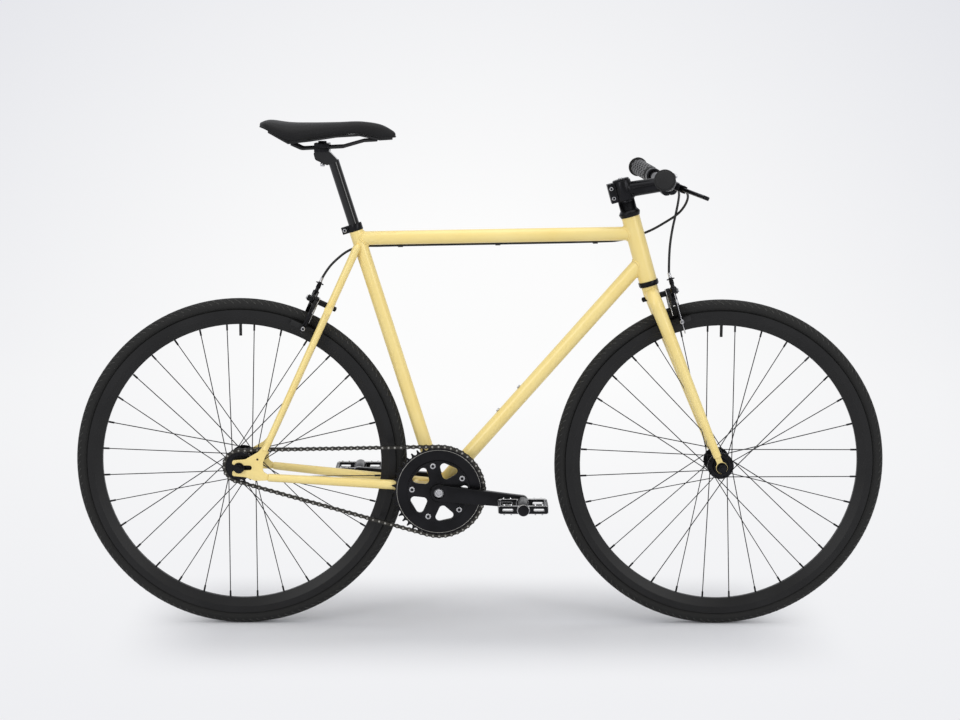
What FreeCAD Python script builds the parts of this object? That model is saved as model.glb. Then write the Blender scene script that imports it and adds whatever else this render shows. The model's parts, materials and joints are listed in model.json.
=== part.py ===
import FreeCAD, Part
import math
import os

V = FreeCAD.Vector
X_AXIS = V(1, 0, 0)
Y_AXIS = V(0, 1, 0)
Z_AXIS = V(0, 0, 1)

# A fixed gear bike: +X forward, +Y to its left, +Z up, origin on the ground midway between the axles.
# Fits
RUNNING_FIT = 0.05
CLEARANCE = 0.3
SPOKE_GAP = 0.05
NIPPLE_GAP = 0.5

# Wheels
WHEELBASE = 981.0
BEAD_SEAT_D = 622.0
TYRE_SECTION = 28.0
TYRE_SHOULDER_W = 19.6
RIM_WIDTH = 26.0
RIM_WALL = 3.0
RIM_EDGE_H = 5.0
RIM_DEPTH = 30.0
RIM_NOSE_W = 8.0
RIM_WELL_W = 11.0
RIM_WELL_DEPTH = 3.0
BRAKE_TRACK_H = 13.5
VALVE_D = 6.0
VALVE_L = 24.0
SPOKE_COUNT = 32
SPOKE_CROSSES = 3
SPOKE_D = 2.0
SPOKE_LEAN = 1.2
NIPPLE_D = 4.0
NIPPLE_L = 12.0

# Hubs and axles
FLANGE_T = 3.0
FLANGE_RIM = 4.0
FRONT_OVER_LOCKNUTS = 100.0
FRONT_FLANGE_Y = 34.0
FRONT_SPOKE_CIRCLE_D = 46.0
FRONT_SHELL_D = 28.0
FRONT_AXLE_D = 9.0
FRONT_AXLE_L = 138.0
REAR_OVER_LOCKNUTS = 120.0
REAR_FLANGE_Y = 33.0
REAR_SPOKE_CIRCLE_D = 50.0
REAR_SHELL_D = 36.0
REAR_AXLE_D = 10.0
REAR_AXLE_L = 160.0
CONE_WALL = 1.7
LOCKNUT_T = 8.0
LOCKNUT_GAP = 1.0
WASHER_D = 22.0
WASHER_T = 2.0
AXLE_NUT_FLATS = 15.0
AXLE_NUT_T = 8.5
COG_THREAD_D = 34.0
LOCKRING_THREAD_D = 31.0
LOCKRING_D = 41.0
LOCKRING_T = 4.0

# Chain drive
CHAIN_PITCH = 12.7
CHAINLINE = 45.0
RING_TEETH = 46
COG_TEETH = 16
RUN_LINKS = 32
BB_DROP = 52.0
SPROCKET_T = 2.4
TOOTH_GAP_R = 4.15
TOOTH_H = 3.4
TOOTH_TIP_W = 2.2
ROLLER_D = 7.7
ROLLER_W = 3.2
PLATE_T = 1.1
PLATE_H = 8.2
PLATE_WAIST_H = 5.6
PLATE_END = 3.6

# Cranks and pedals
CRANK_L = 170.0
CRANK_ANGLE = -5.2
CRANK_HUB_W = 34.0
CRANK_EYE_W = 25.0
CRANK_HUB_IN = 52.0
CRANK_HUB_OUT = 68.0
CRANK_EYE_IN = 61.0
CRANK_EYE_OUT = 75.0
CRANK_BOSS_D = 37.0
CRANK_BOSS_IN = 39.0
BOLT_RECESS_D = 22.0
BOLT_RECESS_IN = 60.0
CRANK_BOLT_D = 19.0
SQUARE_W = 13.0
SPIDER_T = 5.5
SPIDER_D = 128.0
SPIDER_BORE_D = 92.0
SPIDER_ARMS = 5
BOLT_CIRCLE_D = 110.0
RING_BOLT_D = 12.0
RING_BOLT_HEAD = 1.6
WINDOW_IN_R = 24.0
WINDOW_OUT_R = 65.0
WINDOW_SPREAD = 24.0
WINDOW_FILLET = 8.0
PEDAL_THREAD_D = 14.0
PEDAL_FLANGE_D = 18.0
PEDAL_FLANGE_T = 4.0
PEDAL_AXLE_D = 10.0
PEDAL_L = 100.0
PEDAL_W = 70.0
PEDAL_BARREL_D = 24.0
PEDAL_PLATE_T = 6.0
PEDAL_PLATE_H = 17.0
PEDAL_RAIL_T = 6.0
PEDAL_RAIL_H = 14.0
PEDAL_SLOT_L = 20.0
PEDAL_SLOT_H = 4.0
PEDAL_START_GAP = 1.0
PEDAL_CAP_T = 6.0

# Frame
TUBE_WALL = 1.2
HEAD_TUBE_D = 37.0
HEAD_TUBE_WALL = 1.5
HEAD_TUBE_L = 136.0
TOP_TUBE_D = 28.0
TOP_TUBE_BELOW_HEAD = 35.7
TOP_TUBE_BELOW_SEAT = 16.0
DOWN_TUBE_D = 30.0
DOWN_TUBE_ABOVE_HEAD = 43.0
SEAT_ANGLE = 72.3
SEAT_TUBE_D = 28.6
SEAT_TUBE_L = 555.0
SEAT_SLEEVE_D = 25.8
SEAT_SLEEVE_L = 70.0
SEAT_NECK_L = 12.0
BB_SHELL_D = 40.0
BB_SHELL_W = 68.0
BB_SHELL_BORE_D = 34.8
BB_FLANGE_T = 2.0
BB_SPINDLE_D = 17.0
SEATSTAY_BELOW_SEAT = 32.0
SEATSTAY_BACK = 8.0
SEATSTAY_TOP_Y = 16.0
SEATSTAY_TOP_D = 16.0
SEATSTAY_END_D = 13.0
SEATSTAY_CAP_L = 7.0
SEATSTAY_SLOT_L = 10.4
SEATSTAY_END_X = 52.5
SEATSTAY_END_Z = 36.0
CHAINSTAY_FRONT_BACK = 14.5
CHAINSTAY_FRONT_UP = 4.6
CHAINSTAY_FRONT_Y = 22.0
CHAINSTAY_FRONT_D = 21.0
CHAINSTAY_END_D = 16.0
CHAINSTAY_END_X = 59.0
CHAINSTAY_END_Z = -20.3
CHAINSTAY_BRIDGE_AT = 47.0
CHAINSTAY_BRIDGE_D = 12.0
BRAKE_BRIDGE_R = 369.0
BRAKE_BRIDGE_D = 16.0
DROPOUT_T = 6.0
DROPOUT_SLOT_AHEAD = 20.9
EYELET_X = 37.6
EYELET_Z = 17.0
EYELET_D = 5.0
COLLAR_D = 30.6
COLLAR_H = 14.5
COLLAR_LUG_L = 12.0
COLLAR_LUG_W = 14.0
COLLAR_SLOT = 2.0
COLLAR_BOLT_D = 5.0
BOTTLE_BOLT_FIRST = 201.0
BOTTLE_BOLT_SPACING = 64.0
BOTTLE_BOLT_D = 8.5
BOTTLE_BOLT_H = 3.0
CLIP_D = 8.0
CLIP_L = 10.0
CLIP_SHARES = (0.857, 0.504, 0.151)
CLIP_SIDE = 6.0
CLIP_DROP = 2.2

# Fork and headset
HEAD_ANGLE = 74.0
FORK_RAKE = 42.0
FORK_OVER_TYRE = 54.5
LOWER_STACK = 10.5
UPPER_STACK = 15.0
CUP_LOWER_D = 41.0
CUP_UPPER_D = 44.0
CUP_SKIRT_L = 10.0
RACE_T = 1.7
SPACER_D = 34.0
SPACER_H = 10.0
SPACER_COUNT = 2
STEERER_D = 28.6
STEERER_WALL = 1.8
CROWN_BELOW_RACE = 18.2
CROWN_D = 30.0
CROWN_NECK_D = 33.0
LEG_TOP_D = 28.0
LEG_END_D = 16.0
LEG_BEND_R = 24.0
LEG_TOP_Y = 36.0
LEG_END_ABOVE_AXLE = 24.0
FORK_END_T = 6.0
FORK_END_R = 11.7
FORK_END_SLOT = 9.4
FORK_END_TAB_W = 12.0
FORK_END_TAB_L = 34.0

# Stem and bars
STEM_L = 90.0
STEM_RISE = 9.0
STEM_CLAMP_D = 38.0
STEM_CLAMP_H = 40.0
STEM_TOP_D = 32.0
STEM_FRONT_D = 30.0
STEM_BLOCK_L = 32.0
STEM_BLOCK_H = 46.0
STEM_BLOCK_W = 44.0
STEM_BLOCK_FILLET = 10.0
STEM_BOLT_HEAD_D = 8.4
STEM_BOLT_HEAD_H = 4.0
STEM_BOLT_UP = 12.5
STEM_BOLT_OUT = 14.0
FACEPLATE_GAP = 1.5
PINCH_EAR_L = 11.0
PINCH_EAR_W = 28.0
PINCH_SLOT = 2.0
TOP_CAP_H = 4.0
BAR_D = 22.2
BAR_WALL = 2.2
BAR_CENTRE_D = 25.4
BAR_CENTRE_W = 56.0
BAR_TAPER_L = 16.0
BAR_BEND_Y = 55.0
BAR_BEND_R = 70.0
BAR_HALF_W = 285.0
BAR_SWEEP_BACK = 34.8
BAR_SWEEP_UP = 20.9
GRIP_L = 126.0
GRIP_D = 30.4
GRIP_FLANGE_D = 41.0
GRIP_FLANGE_T = 3.0
GRIP_CAP_T = 4.0
GRIP_CAP_D = 34.0
PERCH_FROM_END = 140.0
PERCH_TILT = 23.0
PERCH_RING_D = 32.0
PERCH_RING_W = 16.0
PERCH_BODY_T = 14.0
PERCH_REACH = 38.0
LEVER_PIVOT_OUT = 1.0
LEVER_PIVOT_AHEAD = 32.0
LEVER_PIN_D = 5.0
LEVER_T = 7.6
LEVER_HUB_D = 13.0
LEVER_TIP_D = 13.0
ADJUSTER_D = 9.0
ADJUSTER_L = 18.0
ADJUSTER_AHEAD = 26.0
FERRULE_D = 6.4
FERRULE_L = 10.0

# Brakes and cables
CALIPER_BOLT_BELOW_RACE = 24.6
FRONT_CALIPER_REACH = 28.0
REAR_CALIPER_REACH = 25.0
ARM_T = 8.0
ARM_GAP = 0.4
ARM_ARCH_DROP = 30.0
ARM_IN_R = 22.0
ARM_W = 11.0
ARM_BOSS_D = 18.0
ARM_BELOW_PAD = 9.0
ARM_EXTENSION_W = 12.0
PIVOT_BOLT_D = 8.0
STUD_D = 6.0
CENTRE_BOLT_D = 6.0
CENTRE_BOLT_HOLE_D = 6.2
CABLE_SIDE_OUT = 40.0
ANCHOR_DROP = 17.0
BARREL_UP = 8.0
BARREL_D = 8.0
BARREL_TOP = 34.0
BARREL_BOSS_D = 13.0
PAD_L = 50.0
PAD_T = 6.4
PAD_H = 11.0
PAD_GAP = 2.5
STUD_NUT_T = 5.0
STUD_NUT_FLATS = 10.0
HOUSING_D = 5.0
INNER_WIRE_D = 1.6
WIRE_TAIL = 58.0
FRONT_CABLE_FROM_BAR = ((25, 78, -8.5), (29, 40, -18.5), (24, 6, -34.5), (16, -18, -61.5), (7, -32, -95.5))
FRONT_CABLE_FROM_BARREL = ((-0.6, 1, 39),)
REAR_CABLE_FROM_BAR = ((26, -82, -8.5), (37, -58, -20.5), (34, -36, -40.5), (22, -10, -61.5))
REAR_CABLE_FROM_HEAD = ((64, 12, 23), (36, 22, 5), (5, 25, -7), (-27, 17, -15))
REAR_CABLE_SHARES = (0.9, 0.115)
REAR_CABLE_FROM_SEAT = ((34.5, 17, -17), (4.5, 28, -17.5), (-25.5, 34, -28.5))
REAR_CABLE_FROM_BARREL = ((25, -2, 34), (10, 0, 17))

# Seat
SEATPOST_D = 22.2
SEATPOST_INSIDE = 125.0
SEATPOST_OUTSIDE = 148.0
SEAT_HEAD_W = 26.0
SEAT_HEAD_H = 17.9
RAIL_D = 7.0
RAIL_CLAMP_Y = 22.0
CLAMP_L = 30.0
CLAMP_W = 56.0
CLAMP_BOLT_D = 8.0
SADDLE_SHELL_T = 4.0
SADDLE_SHELL_SHARE = 0.86

# Derived places
TYRE_R = BEAD_SEAT_D / 2 + TYRE_SECTION
REAR_AXLE = V(-WHEELBASE / 2, 0, TYRE_R)
FRONT_AXLE = V(WHEELBASE / 2, 0, TYRE_R)
RIM_EDGE_R = BEAD_SEAT_D / 2 + RIM_EDGE_H
RIM_NOSE_R = RIM_EDGE_R - RIM_DEPTH
TRACK_LOW_R = RIM_EDGE_R - BRAKE_TRACK_H
TRACK_MID_R = (RIM_EDGE_R + TRACK_LOW_R) / 2


def pitch_radius(teeth):
    return CHAIN_PITCH / (2 * math.sin(math.pi / teeth))


RING_R = pitch_radius(RING_TEETH)
COG_R = pitch_radius(COG_TEETH)
RUN_L = RUN_LINKS * CHAIN_PITCH
CHAIN_LEAN = math.asin((RING_R - COG_R) / RUN_L)
COG_WRAP = round(COG_TEETH * (0.5 - CHAIN_LEAN / math.pi))
RING_WRAP = round(RING_TEETH * (0.5 + CHAIN_LEAN / math.pi))
RING_WRAP -= (RING_WRAP + COG_WRAP) % 2
RING_HALF_WRAP = RING_WRAP * math.pi / RING_TEETH
COG_HALF_WRAP = COG_WRAP * math.pi / COG_TEETH
RUN_RISE = RING_R * math.sin(RING_HALF_WRAP) - COG_R * math.sin(COG_HALF_WRAP)
RUN_AHEAD = math.sqrt(RUN_L**2 - RUN_RISE**2)
CENTRE_DISTANCE = RUN_AHEAD - RING_R * math.cos(RING_HALF_WRAP) - COG_R * math.cos(COG_HALF_WRAP)
BB = V(REAR_AXLE.x + math.sqrt(CENTRE_DISTANCE**2 - BB_DROP**2), 0, TYRE_R - BB_DROP)
DRIVE_AHEAD = (BB - REAR_AXLE).normalize()
DRIVE_UP = V(-DRIVE_AHEAD.z, 0, DRIVE_AHEAD.x)

SEAT_RAD = math.radians(SEAT_ANGLE)
SEAT_UP = V(-math.cos(SEAT_RAD), 0, math.sin(SEAT_RAD))
SEAT_BACK = V(-math.sin(SEAT_RAD), 0, -math.cos(SEAT_RAD))
HEAD_RAD = math.radians(HEAD_ANGLE)
STEER_UP = V(-math.cos(HEAD_RAD), 0, math.sin(HEAD_RAD))
STEER_FORE = V(math.sin(HEAD_RAD), 0, math.cos(HEAD_RAD))
STEER_FOOT = FRONT_AXLE - STEER_FORE * FORK_RAKE
SEATPOST_BOTTOM = SEAT_TUBE_L - SEATPOST_INSIDE
SEATPOST_TOP = SEAT_TUBE_L + SEATPOST_OUTSIDE
FORK_LENGTH = TYRE_R + FORK_OVER_TYRE
HEAD_BOTTOM = FORK_LENGTH + LOWER_STACK
HEAD_TOP = HEAD_BOTTOM + HEAD_TUBE_L
STEM_BOTTOM = HEAD_TOP + UPPER_STACK + SPACER_COUNT * SPACER_H
CROWN_AT = FORK_LENGTH - CROWN_BELOW_RACE


def on_seat(along, back=0.0, side=0.0):
    return BB + SEAT_UP * along + SEAT_BACK * back + Y_AXIS * side


def on_steer(along, fore=0.0, side=0.0):
    return STEER_FOOT + STEER_UP * along + STEER_FORE * fore + Y_AXIS * side


STEM_RAD = math.radians(STEM_RISE)
STEM_AHEAD = V(math.cos(STEM_RAD), 0, math.sin(STEM_RAD))
STEM_OVER = V(-math.sin(STEM_RAD), 0, math.cos(STEM_RAD))
STEM_CENTRE = on_steer(STEM_BOTTOM + STEM_CLAMP_H / 2)
BAR_CENTRE = STEM_CENTRE + STEM_AHEAD * STEM_L


# Shape helpers
def rod(start, end, radius):
    run = end - start
    return Part.makeCylinder(radius, run.Length, start, run)


def cone(start, end, start_r, end_r):
    run = end - start
    return Part.makeCone(start_r, end_r, run.Length, start, run)


def tube(start, end, outer_r, inner_r):
    return rod(start, end, outer_r).cut(rod(start, end, inner_r))


def drum(centre, y_low, y_high, outer_r, inner_r=0.0):
    start = centre + Y_AXIS * y_low
    end = centre + Y_AXIS * y_high
    if inner_r > 0:
        return tube(start, end, outer_r, inner_r)
    return rod(start, end, outer_r)


def local(origin, x_axis, y_axis):
    return FreeCAD.Placement(origin, FreeCAD.Rotation(x_axis, y_axis, x_axis.cross(y_axis), "XYZ"))


def placed(shape, placement):
    moved = shape.copy()
    moved.Placement = placement.multiply(moved.Placement)
    return moved


def mirrored(shape):
    return shape.mirror(V(0, 0, 0), Y_AXIS)


def both_sides(shape):
    return Part.makeCompound([shape, mirrored(shape)])


def group(*shapes):
    return Part.makeCompound(list(shapes))


def polygon(points):
    corners = [V(x, y, 0) for x, y in points]
    return Part.Face(Part.makePolygon(corners + corners[:1]))


def contour(start, *steps):
    """Closed face: a step of two numbers is a line, one of four an arc through a point to its end."""
    edges = []
    here = V(*start, 0)
    for step in steps:
        there = V(*step[-2:], 0)
        if len(step) == 4:
            edges.append(Part.Arc(here, V(*step[:2], 0), there).toShape())
        else:
            edges.append(Part.LineSegment(here, there).toShape())
        here = there
    if (here - V(*start, 0)).Length > 1e-6:
        edges.append(Part.LineSegment(here, V(*start, 0)).toShape())
    return Part.Face(Part.Wire(edges))


def turn_at(before, corner, after, run):
    """Tangent arc at a corner: its start, middle and end, leaving the corner by run on both legs."""
    back = (before - corner).normalize()
    ahead = (after - corner).normalize()
    half = back.getAngle(ahead) / 2
    radius = run * math.tan(half)
    middle = corner + (back + ahead).normalize() * (radius / math.sin(half) - radius)
    return corner + back * run, middle, corner + ahead * run, radius


def rounded_face(corners):
    """Closed face from (x, y, fillet radius) corners."""
    points = [V(x, y, 0) for x, y, _ in corners]
    turns = []
    for index, (_, _, fillet) in enumerate(corners):
        before = points[index - 1]
        corner = points[index]
        after = points[(index + 1) % len(points)]
        half = (before - corner).getAngle(after - corner) / 2
        turns.append(turn_at(before, corner, after, fillet / math.tan(half)))
    edges = []
    for index, (start, middle, end, _) in enumerate(turns):
        edges.append(Part.Arc(start, middle, end).toShape())
        edges.append(Part.LineSegment(end, turns[(index + 1) % len(turns)][0]).toShape())
    return Part.Face(Part.Wire(edges))


def capsule(start, end, radius):
    run = V(end[0] - start[0], end[1] - start[1], 0)
    side = V(-run.y, run.x, 0).normalize() * radius
    tip = V(run).normalize() * radius
    first = (start[0] + side.x, start[1] + side.y)
    round_start = (start[0] - tip.x, start[1] - tip.y, start[0] - side.x, start[1] - side.y)
    round_end = (end[0] + tip.x, end[1] + tip.y, end[0] + side.x, end[1] + side.y)
    return contour(first, round_start, (end[0] - side.x, end[1] - side.y), round_end)


def disc(x, y, radius):
    return Part.Face(Part.Wire(Part.makeCircle(radius, V(x, y, 0))))


def slab(face, z_low, z_high, placement=FreeCAD.Placement()):
    solid = face.extrude(V(0, 0, z_high - z_low))
    solid.translate(V(0, 0, z_low))
    return placed(solid, placement)


def side_plate(face, y_low, y_high, origin=V(0, 0, 0)):
    """Slab whose outline is drawn in side view, x forward and y up, between two widths of the bike."""
    return slab(face, -y_high, -y_low, local(origin, X_AXIS, Z_AXIS))


def turned(face, centre):
    solid = face.revolve(V(0, 0, 0), Y_AXIS, 360)
    solid.translate(centre)
    return solid


def spool(half):
    """Turning profile, symmetric about the wheel's plane, from (radius, offset) points of one half."""
    return polygon(half + [(radius, -offset) for radius, offset in reversed(half)])


def hexagon_nut(centre, y_low, y_high, flats, bore_r):
    corner_r = flats / math.sqrt(3)
    points = [(corner_r * math.cos(k * math.pi / 3), corner_r * math.sin(k * math.pi / 3)) for k in range(6)]
    return side_plate(polygon(points).cut(disc(0, 0, bore_r)), y_low, y_high, centre)


def prism(start, end, radius, sides):
    """Slim bar with a many-sided section."""
    run = end - start
    spin = FreeCAD.Rotation(Z_AXIS, run)
    corners = []
    for k in range(sides):
        angle = 2 * math.pi * k / sides
        corners.append(start + spin.multVec(V(radius * math.cos(angle), radius * math.sin(angle), 0)))
    return Part.Face(Part.makePolygon(corners + corners[:1])).extrude(run)


def smooth_route(points):
    """Straight runs joined by the largest tangent arcs that they allow; also lists the radii."""
    edges = []
    radii = []
    here = points[0]
    for before, corner, after in zip(points, points[1:], points[2:]):
        run = 0.45 * min((corner - before).Length, (after - corner).Length)
        start, middle, end, radius = turn_at(before, corner, after, run)
        edges.append(Part.LineSegment(here, start).toShape())
        edges.append(Part.Arc(start, middle, end).toShape())
        radii.append(radius)
        here = end
    edges.append(Part.LineSegment(here, points[-1]).toShape())
    return Part.Wire(edges), radii


def bent_route(points, radius):
    """Straight runs joined by tangent arcs of one radius."""
    edges = []
    here = points[0]
    for before, corner, after in zip(points, points[1:], points[2:]):
        half = (before - corner).getAngle(after - corner) / 2
        start, middle, end, _ = turn_at(before, corner, after, radius / math.tan(half))
        edges.append(Part.LineSegment(here, start).toShape())
        edges.append(Part.Arc(start, middle, end).toShape())
        here = end
    edges.append(Part.LineSegment(here, points[-1]).toShape())
    return Part.Wire(edges)


def swept(path, radius):
    first = path.Edges[0]
    start = first.valueAt(first.FirstParameter)
    circle = Part.Wire(Part.makeCircle(radius, start, first.tangentAt(first.FirstParameter)))
    return path.makePipeShell([circle], True, False)


# Frame tubes
HEAD_TUBE_CORE = rod(on_steer(HEAD_BOTTOM), on_steer(HEAD_TOP), HEAD_TUBE_D / 2)
SEAT_TUBE_CORE = rod(BB, on_seat(SEAT_TUBE_L), SEAT_TUBE_D / 2)
BB_CORE = drum(BB, -BB_SHELL_W / 2, BB_SHELL_W / 2, BB_SHELL_D / 2)
TOP_TUBE_REAR = on_seat(SEAT_TUBE_L - TOP_TUBE_BELOW_SEAT)
TOP_TUBE_FRONT = on_steer(HEAD_TOP - TOP_TUBE_BELOW_HEAD)
DOWN_TUBE_FRONT = on_steer(HEAD_BOTTOM + DOWN_TUBE_ABOVE_HEAD)
DOWN_AHEAD = (DOWN_TUBE_FRONT - BB).normalize()
DOWN_OVER = V(-DOWN_AHEAD.z, 0, DOWN_AHEAD.x)
SEATSTAY_TOP = on_seat(SEAT_TUBE_L - SEATSTAY_BELOW_SEAT, SEATSTAY_BACK, SEATSTAY_TOP_Y)
STAY_END_Y = REAR_OVER_LOCKNUTS / 2 + DROPOUT_T / 2
SEATSTAY_END = REAR_AXLE + V(SEATSTAY_END_X, STAY_END_Y, SEATSTAY_END_Z)
CHAINSTAY_FRONT = BB + V(-CHAINSTAY_FRONT_BACK, CHAINSTAY_FRONT_Y, CHAINSTAY_FRONT_UP)
CHAINSTAY_END = REAR_AXLE + V(CHAINSTAY_END_X, STAY_END_Y, CHAINSTAY_END_Z)


def head_tube():
    return tube(on_steer(HEAD_BOTTOM), on_steer(HEAD_TOP), HEAD_TUBE_D / 2, HEAD_TUBE_D / 2 - HEAD_TUBE_WALL)


def top_tube():
    whole = tube(TOP_TUBE_REAR, TOP_TUBE_FRONT, TOP_TUBE_D / 2, TOP_TUBE_D / 2 - TUBE_WALL)
    return whole.cut(SEAT_TUBE_CORE).cut(HEAD_TUBE_CORE)


def down_tube():
    whole = tube(BB, DOWN_TUBE_FRONT, DOWN_TUBE_D / 2, DOWN_TUBE_D / 2 - TUBE_WALL)
    return whole.cut(BB_CORE).cut(SEAT_TUBE_CORE).cut(HEAD_TUBE_CORE)


def seat_tube():
    neck_top = on_seat(SEAT_TUBE_L + SEAT_NECK_L)
    outer = SEAT_TUBE_CORE.fuse(rod(on_seat(SEAT_TUBE_L), neck_top, SEAT_SLEEVE_D / 2))
    bore = rod(BB, on_seat(SEAT_TUBE_L - SEAT_SLEEVE_L), SEAT_TUBE_D / 2 - TUBE_WALL)
    post_bore = rod(BB, neck_top, SEATPOST_D / 2 + RUNNING_FIT)
    return outer.cut(bore).cut(post_bore).cut(BB_CORE)


def bottom_bracket_shell():
    return drum(BB, -BB_SHELL_W / 2, BB_SHELL_W / 2, BB_SHELL_D / 2, BB_SHELL_BORE_D / 2)


def chainstays(plate):
    outer = cone(CHAINSTAY_FRONT, CHAINSTAY_END, CHAINSTAY_FRONT_D / 2, CHAINSTAY_END_D / 2)
    stay = outer.cut(BB_CORE).cut(SEAT_TUBE_CORE).cut(plate)
    along = (CHAINSTAY_END - CHAINSTAY_FRONT).normalize()
    middle = CHAINSTAY_FRONT + along * (CHAINSTAY_BRIDGE_AT - CHAINSTAY_FRONT_BACK)
    bridge = drum(V(middle.x, 0, middle.z), -middle.y, middle.y, CHAINSTAY_BRIDGE_D / 2)
    return group(stay, mirrored(stay), bridge.cut(outer).cut(mirrored(outer)))


def seatstay_form():
    upward = (SEATSTAY_TOP - SEATSTAY_END).normalize()
    top_r = SEATSTAY_TOP_D / 2
    shaft = cone(SEATSTAY_TOP, SEATSTAY_END, top_r, SEATSTAY_END_D / 2)
    return shaft.fuse(cone(SEATSTAY_TOP, SEATSTAY_TOP + upward * SEATSTAY_CAP_L, top_r, top_r / 2))


STAY_DOWN = V(SEATSTAY_END.x - SEATSTAY_TOP.x, 0, SEATSTAY_END.z - SEATSTAY_TOP.z).normalize()
REAR_CALIPER_OUT = V(STAY_DOWN.z, 0, -STAY_DOWN.x)
REAR_CALIPER_UP = V(-STAY_DOWN.x, 0, -STAY_DOWN.z)


def bridge_centre():
    """Point midway between the seatstays, at the brake bridge's distance from the rear axle."""
    top = V(SEATSTAY_TOP.x, 0, SEATSTAY_TOP.z)
    from_axle = top - REAR_AXLE
    along = from_axle.dot(STAY_DOWN)
    off = (from_axle - STAY_DOWN * along).Length
    return top + STAY_DOWN * (-along - math.sqrt(BRAKE_BRIDGE_R**2 - off**2))


BRIDGE = bridge_centre()


def seatstay_slot():
    """Slot in the stay's foot that takes the dropout's tab."""
    frame = local(V(SEATSTAY_END.x, 0, SEATSTAY_END.z), REAR_CALIPER_UP, Y_AXIS)
    wide = 2 * SEATSTAY_END_D
    return placed(Part.makeBox(wide + SEATSTAY_SLOT_L, DROPOUT_T, wide,
                               V(-wide, REAR_OVER_LOCKNUTS / 2, -wide / 2)), frame)


def seatstays():
    outer = seatstay_form()
    stay = outer.cut(SEAT_TUBE_CORE).cut(seatstay_slot())
    bridge = drum(BRIDGE, -STAY_END_Y, STAY_END_Y, BRAKE_BRIDGE_D / 2).cut(outer).cut(mirrored(outer))
    inner = [piece for piece in bridge.Solids if abs(piece.CenterOfMass.y) < CLEARANCE]
    hole = rod(BRIDGE - REAR_CALIPER_OUT * BRAKE_BRIDGE_D, BRIDGE + REAR_CALIPER_OUT * BRAKE_BRIDGE_D,
               CENTRE_BOLT_HOLE_D / 2)
    return group(stay, mirrored(stay), inner[0].cut(hole))


def dropout():
    axle_r = REAR_AXLE_D / 2 + RUNNING_FIT * 3
    tab = SEATSTAY_END_X
    foot = CHAINSTAY_END_X
    outline = rounded_face([
        (-13.5, 15, 4), (12.5, 17, 8), (EYELET_X + 0.9, EYELET_Z + 15, 6),
        (tab - 0.6, SEATSTAY_END_Z + 11.3, 2), (tab + 9.4, SEATSTAY_END_Z + 6.7, 2), (48.5, 11, 8), (48.5, -8, 8),
        (foot + 0.5, CHAINSTAY_END_Z + 5.6, 2), (foot + 0.5, CHAINSTAY_END_Z - 5.5, 2), (32.5, -26.5, 6),
        (12.5, -19, 8), (-13.5, -16.5, 4)])
    slot = contour((-30, axle_r + 12), (-8, axle_r), (DROPOUT_SLOT_AHEAD, axle_r),
                   (DROPOUT_SLOT_AHEAD + axle_r, 0, DROPOUT_SLOT_AHEAD, -axle_r), (-8, -axle_r),
                   (-30, -axle_r - 12))
    plate = outline.cut(slot).cut(disc(EYELET_X, EYELET_Z, EYELET_D / 2))
    inner_y = REAR_OVER_LOCKNUTS / 2
    return side_plate(plate, inner_y, inner_y + DROPOUT_T, REAR_AXLE)


def headset_cups():
    steerer_r = STEERER_D / 2 + CLEARANCE
    skirt_r = HEAD_TUBE_D / 2 - HEAD_TUBE_WALL
    lower = tube(on_steer(FORK_LENGTH + RACE_T + CLEARANCE), on_steer(HEAD_BOTTOM), CUP_LOWER_D / 2, steerer_r)
    lower_skirt = tube(on_steer(HEAD_BOTTOM), on_steer(HEAD_BOTTOM + CUP_SKIRT_L), skirt_r, steerer_r)
    middle = on_steer(HEAD_TOP + UPPER_STACK / 2)
    upper = cone(on_steer(HEAD_TOP), middle, HEAD_TUBE_D / 2 + 1, CUP_UPPER_D / 2)
    upper_skirt = rod(on_steer(HEAD_TOP - CUP_SKIRT_L), on_steer(HEAD_TOP), skirt_r)
    upper = upper.fuse(upper_skirt).cut(rod(on_steer(HEAD_TOP - CUP_SKIRT_L), middle, steerer_r))
    return group(lower.fuse(lower_skirt), upper)


def bottom_bracket_cartridge():
    bore_r = BB_SPINDLE_D / 2 + RUNNING_FIT
    body = drum(BB, -BB_SHELL_W / 2, BB_SHELL_W / 2, BB_SHELL_BORE_D / 2, bore_r)
    flange = drum(BB, BB_SHELL_W / 2, BB_SHELL_W / 2 + BB_FLANGE_T, BB_SHELL_D / 2, bore_r)
    return body.fuse(flange).fuse(mirrored(flange))


def seat_collar():
    bottom = on_seat(SEAT_TUBE_L)
    top = on_seat(SEAT_TUBE_L + COLLAR_H)
    frame = local(bottom, SEAT_BACK, Y_AXIS * -1)
    lug = Part.makeBox(COLLAR_D / 2 + COLLAR_LUG_L - 8, COLLAR_LUG_W, COLLAR_H, V(8, -COLLAR_LUG_W / 2, 0))
    slot = Part.makeBox(COLLAR_D + COLLAR_LUG_L, COLLAR_SLOT, COLLAR_H, V(0, -COLLAR_SLOT / 2, 0))
    ring = rod(bottom, top, COLLAR_D / 2).fuse(placed(lug, frame)).cut(placed(slot, frame))
    neck_top = on_seat(SEAT_TUBE_L + SEAT_NECK_L)
    ring = ring.cut(rod(bottom, neck_top, SEAT_SLEEVE_D / 2))
    ring = ring.cut(rod(neck_top, top, SEATPOST_D / 2 + CLEARANCE))
    bolt_at = on_seat(SEAT_TUBE_L + COLLAR_H / 2, COLLAR_D / 2 + COLLAR_LUG_L / 2)
    bolt = drum(bolt_at, -COLLAR_LUG_W / 2 - 1.5, COLLAR_LUG_W / 2 + 1.5, COLLAR_BOLT_D / 2)
    heads = both_sides(drum(bolt_at, COLLAR_LUG_W / 2, COLLAR_LUG_W / 2 + 1.5, COLLAR_BOLT_D * 0.8))
    return group(ring.cut(bolt), bolt.fuse(heads.Solids[0]).fuse(heads.Solids[1]))


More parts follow.
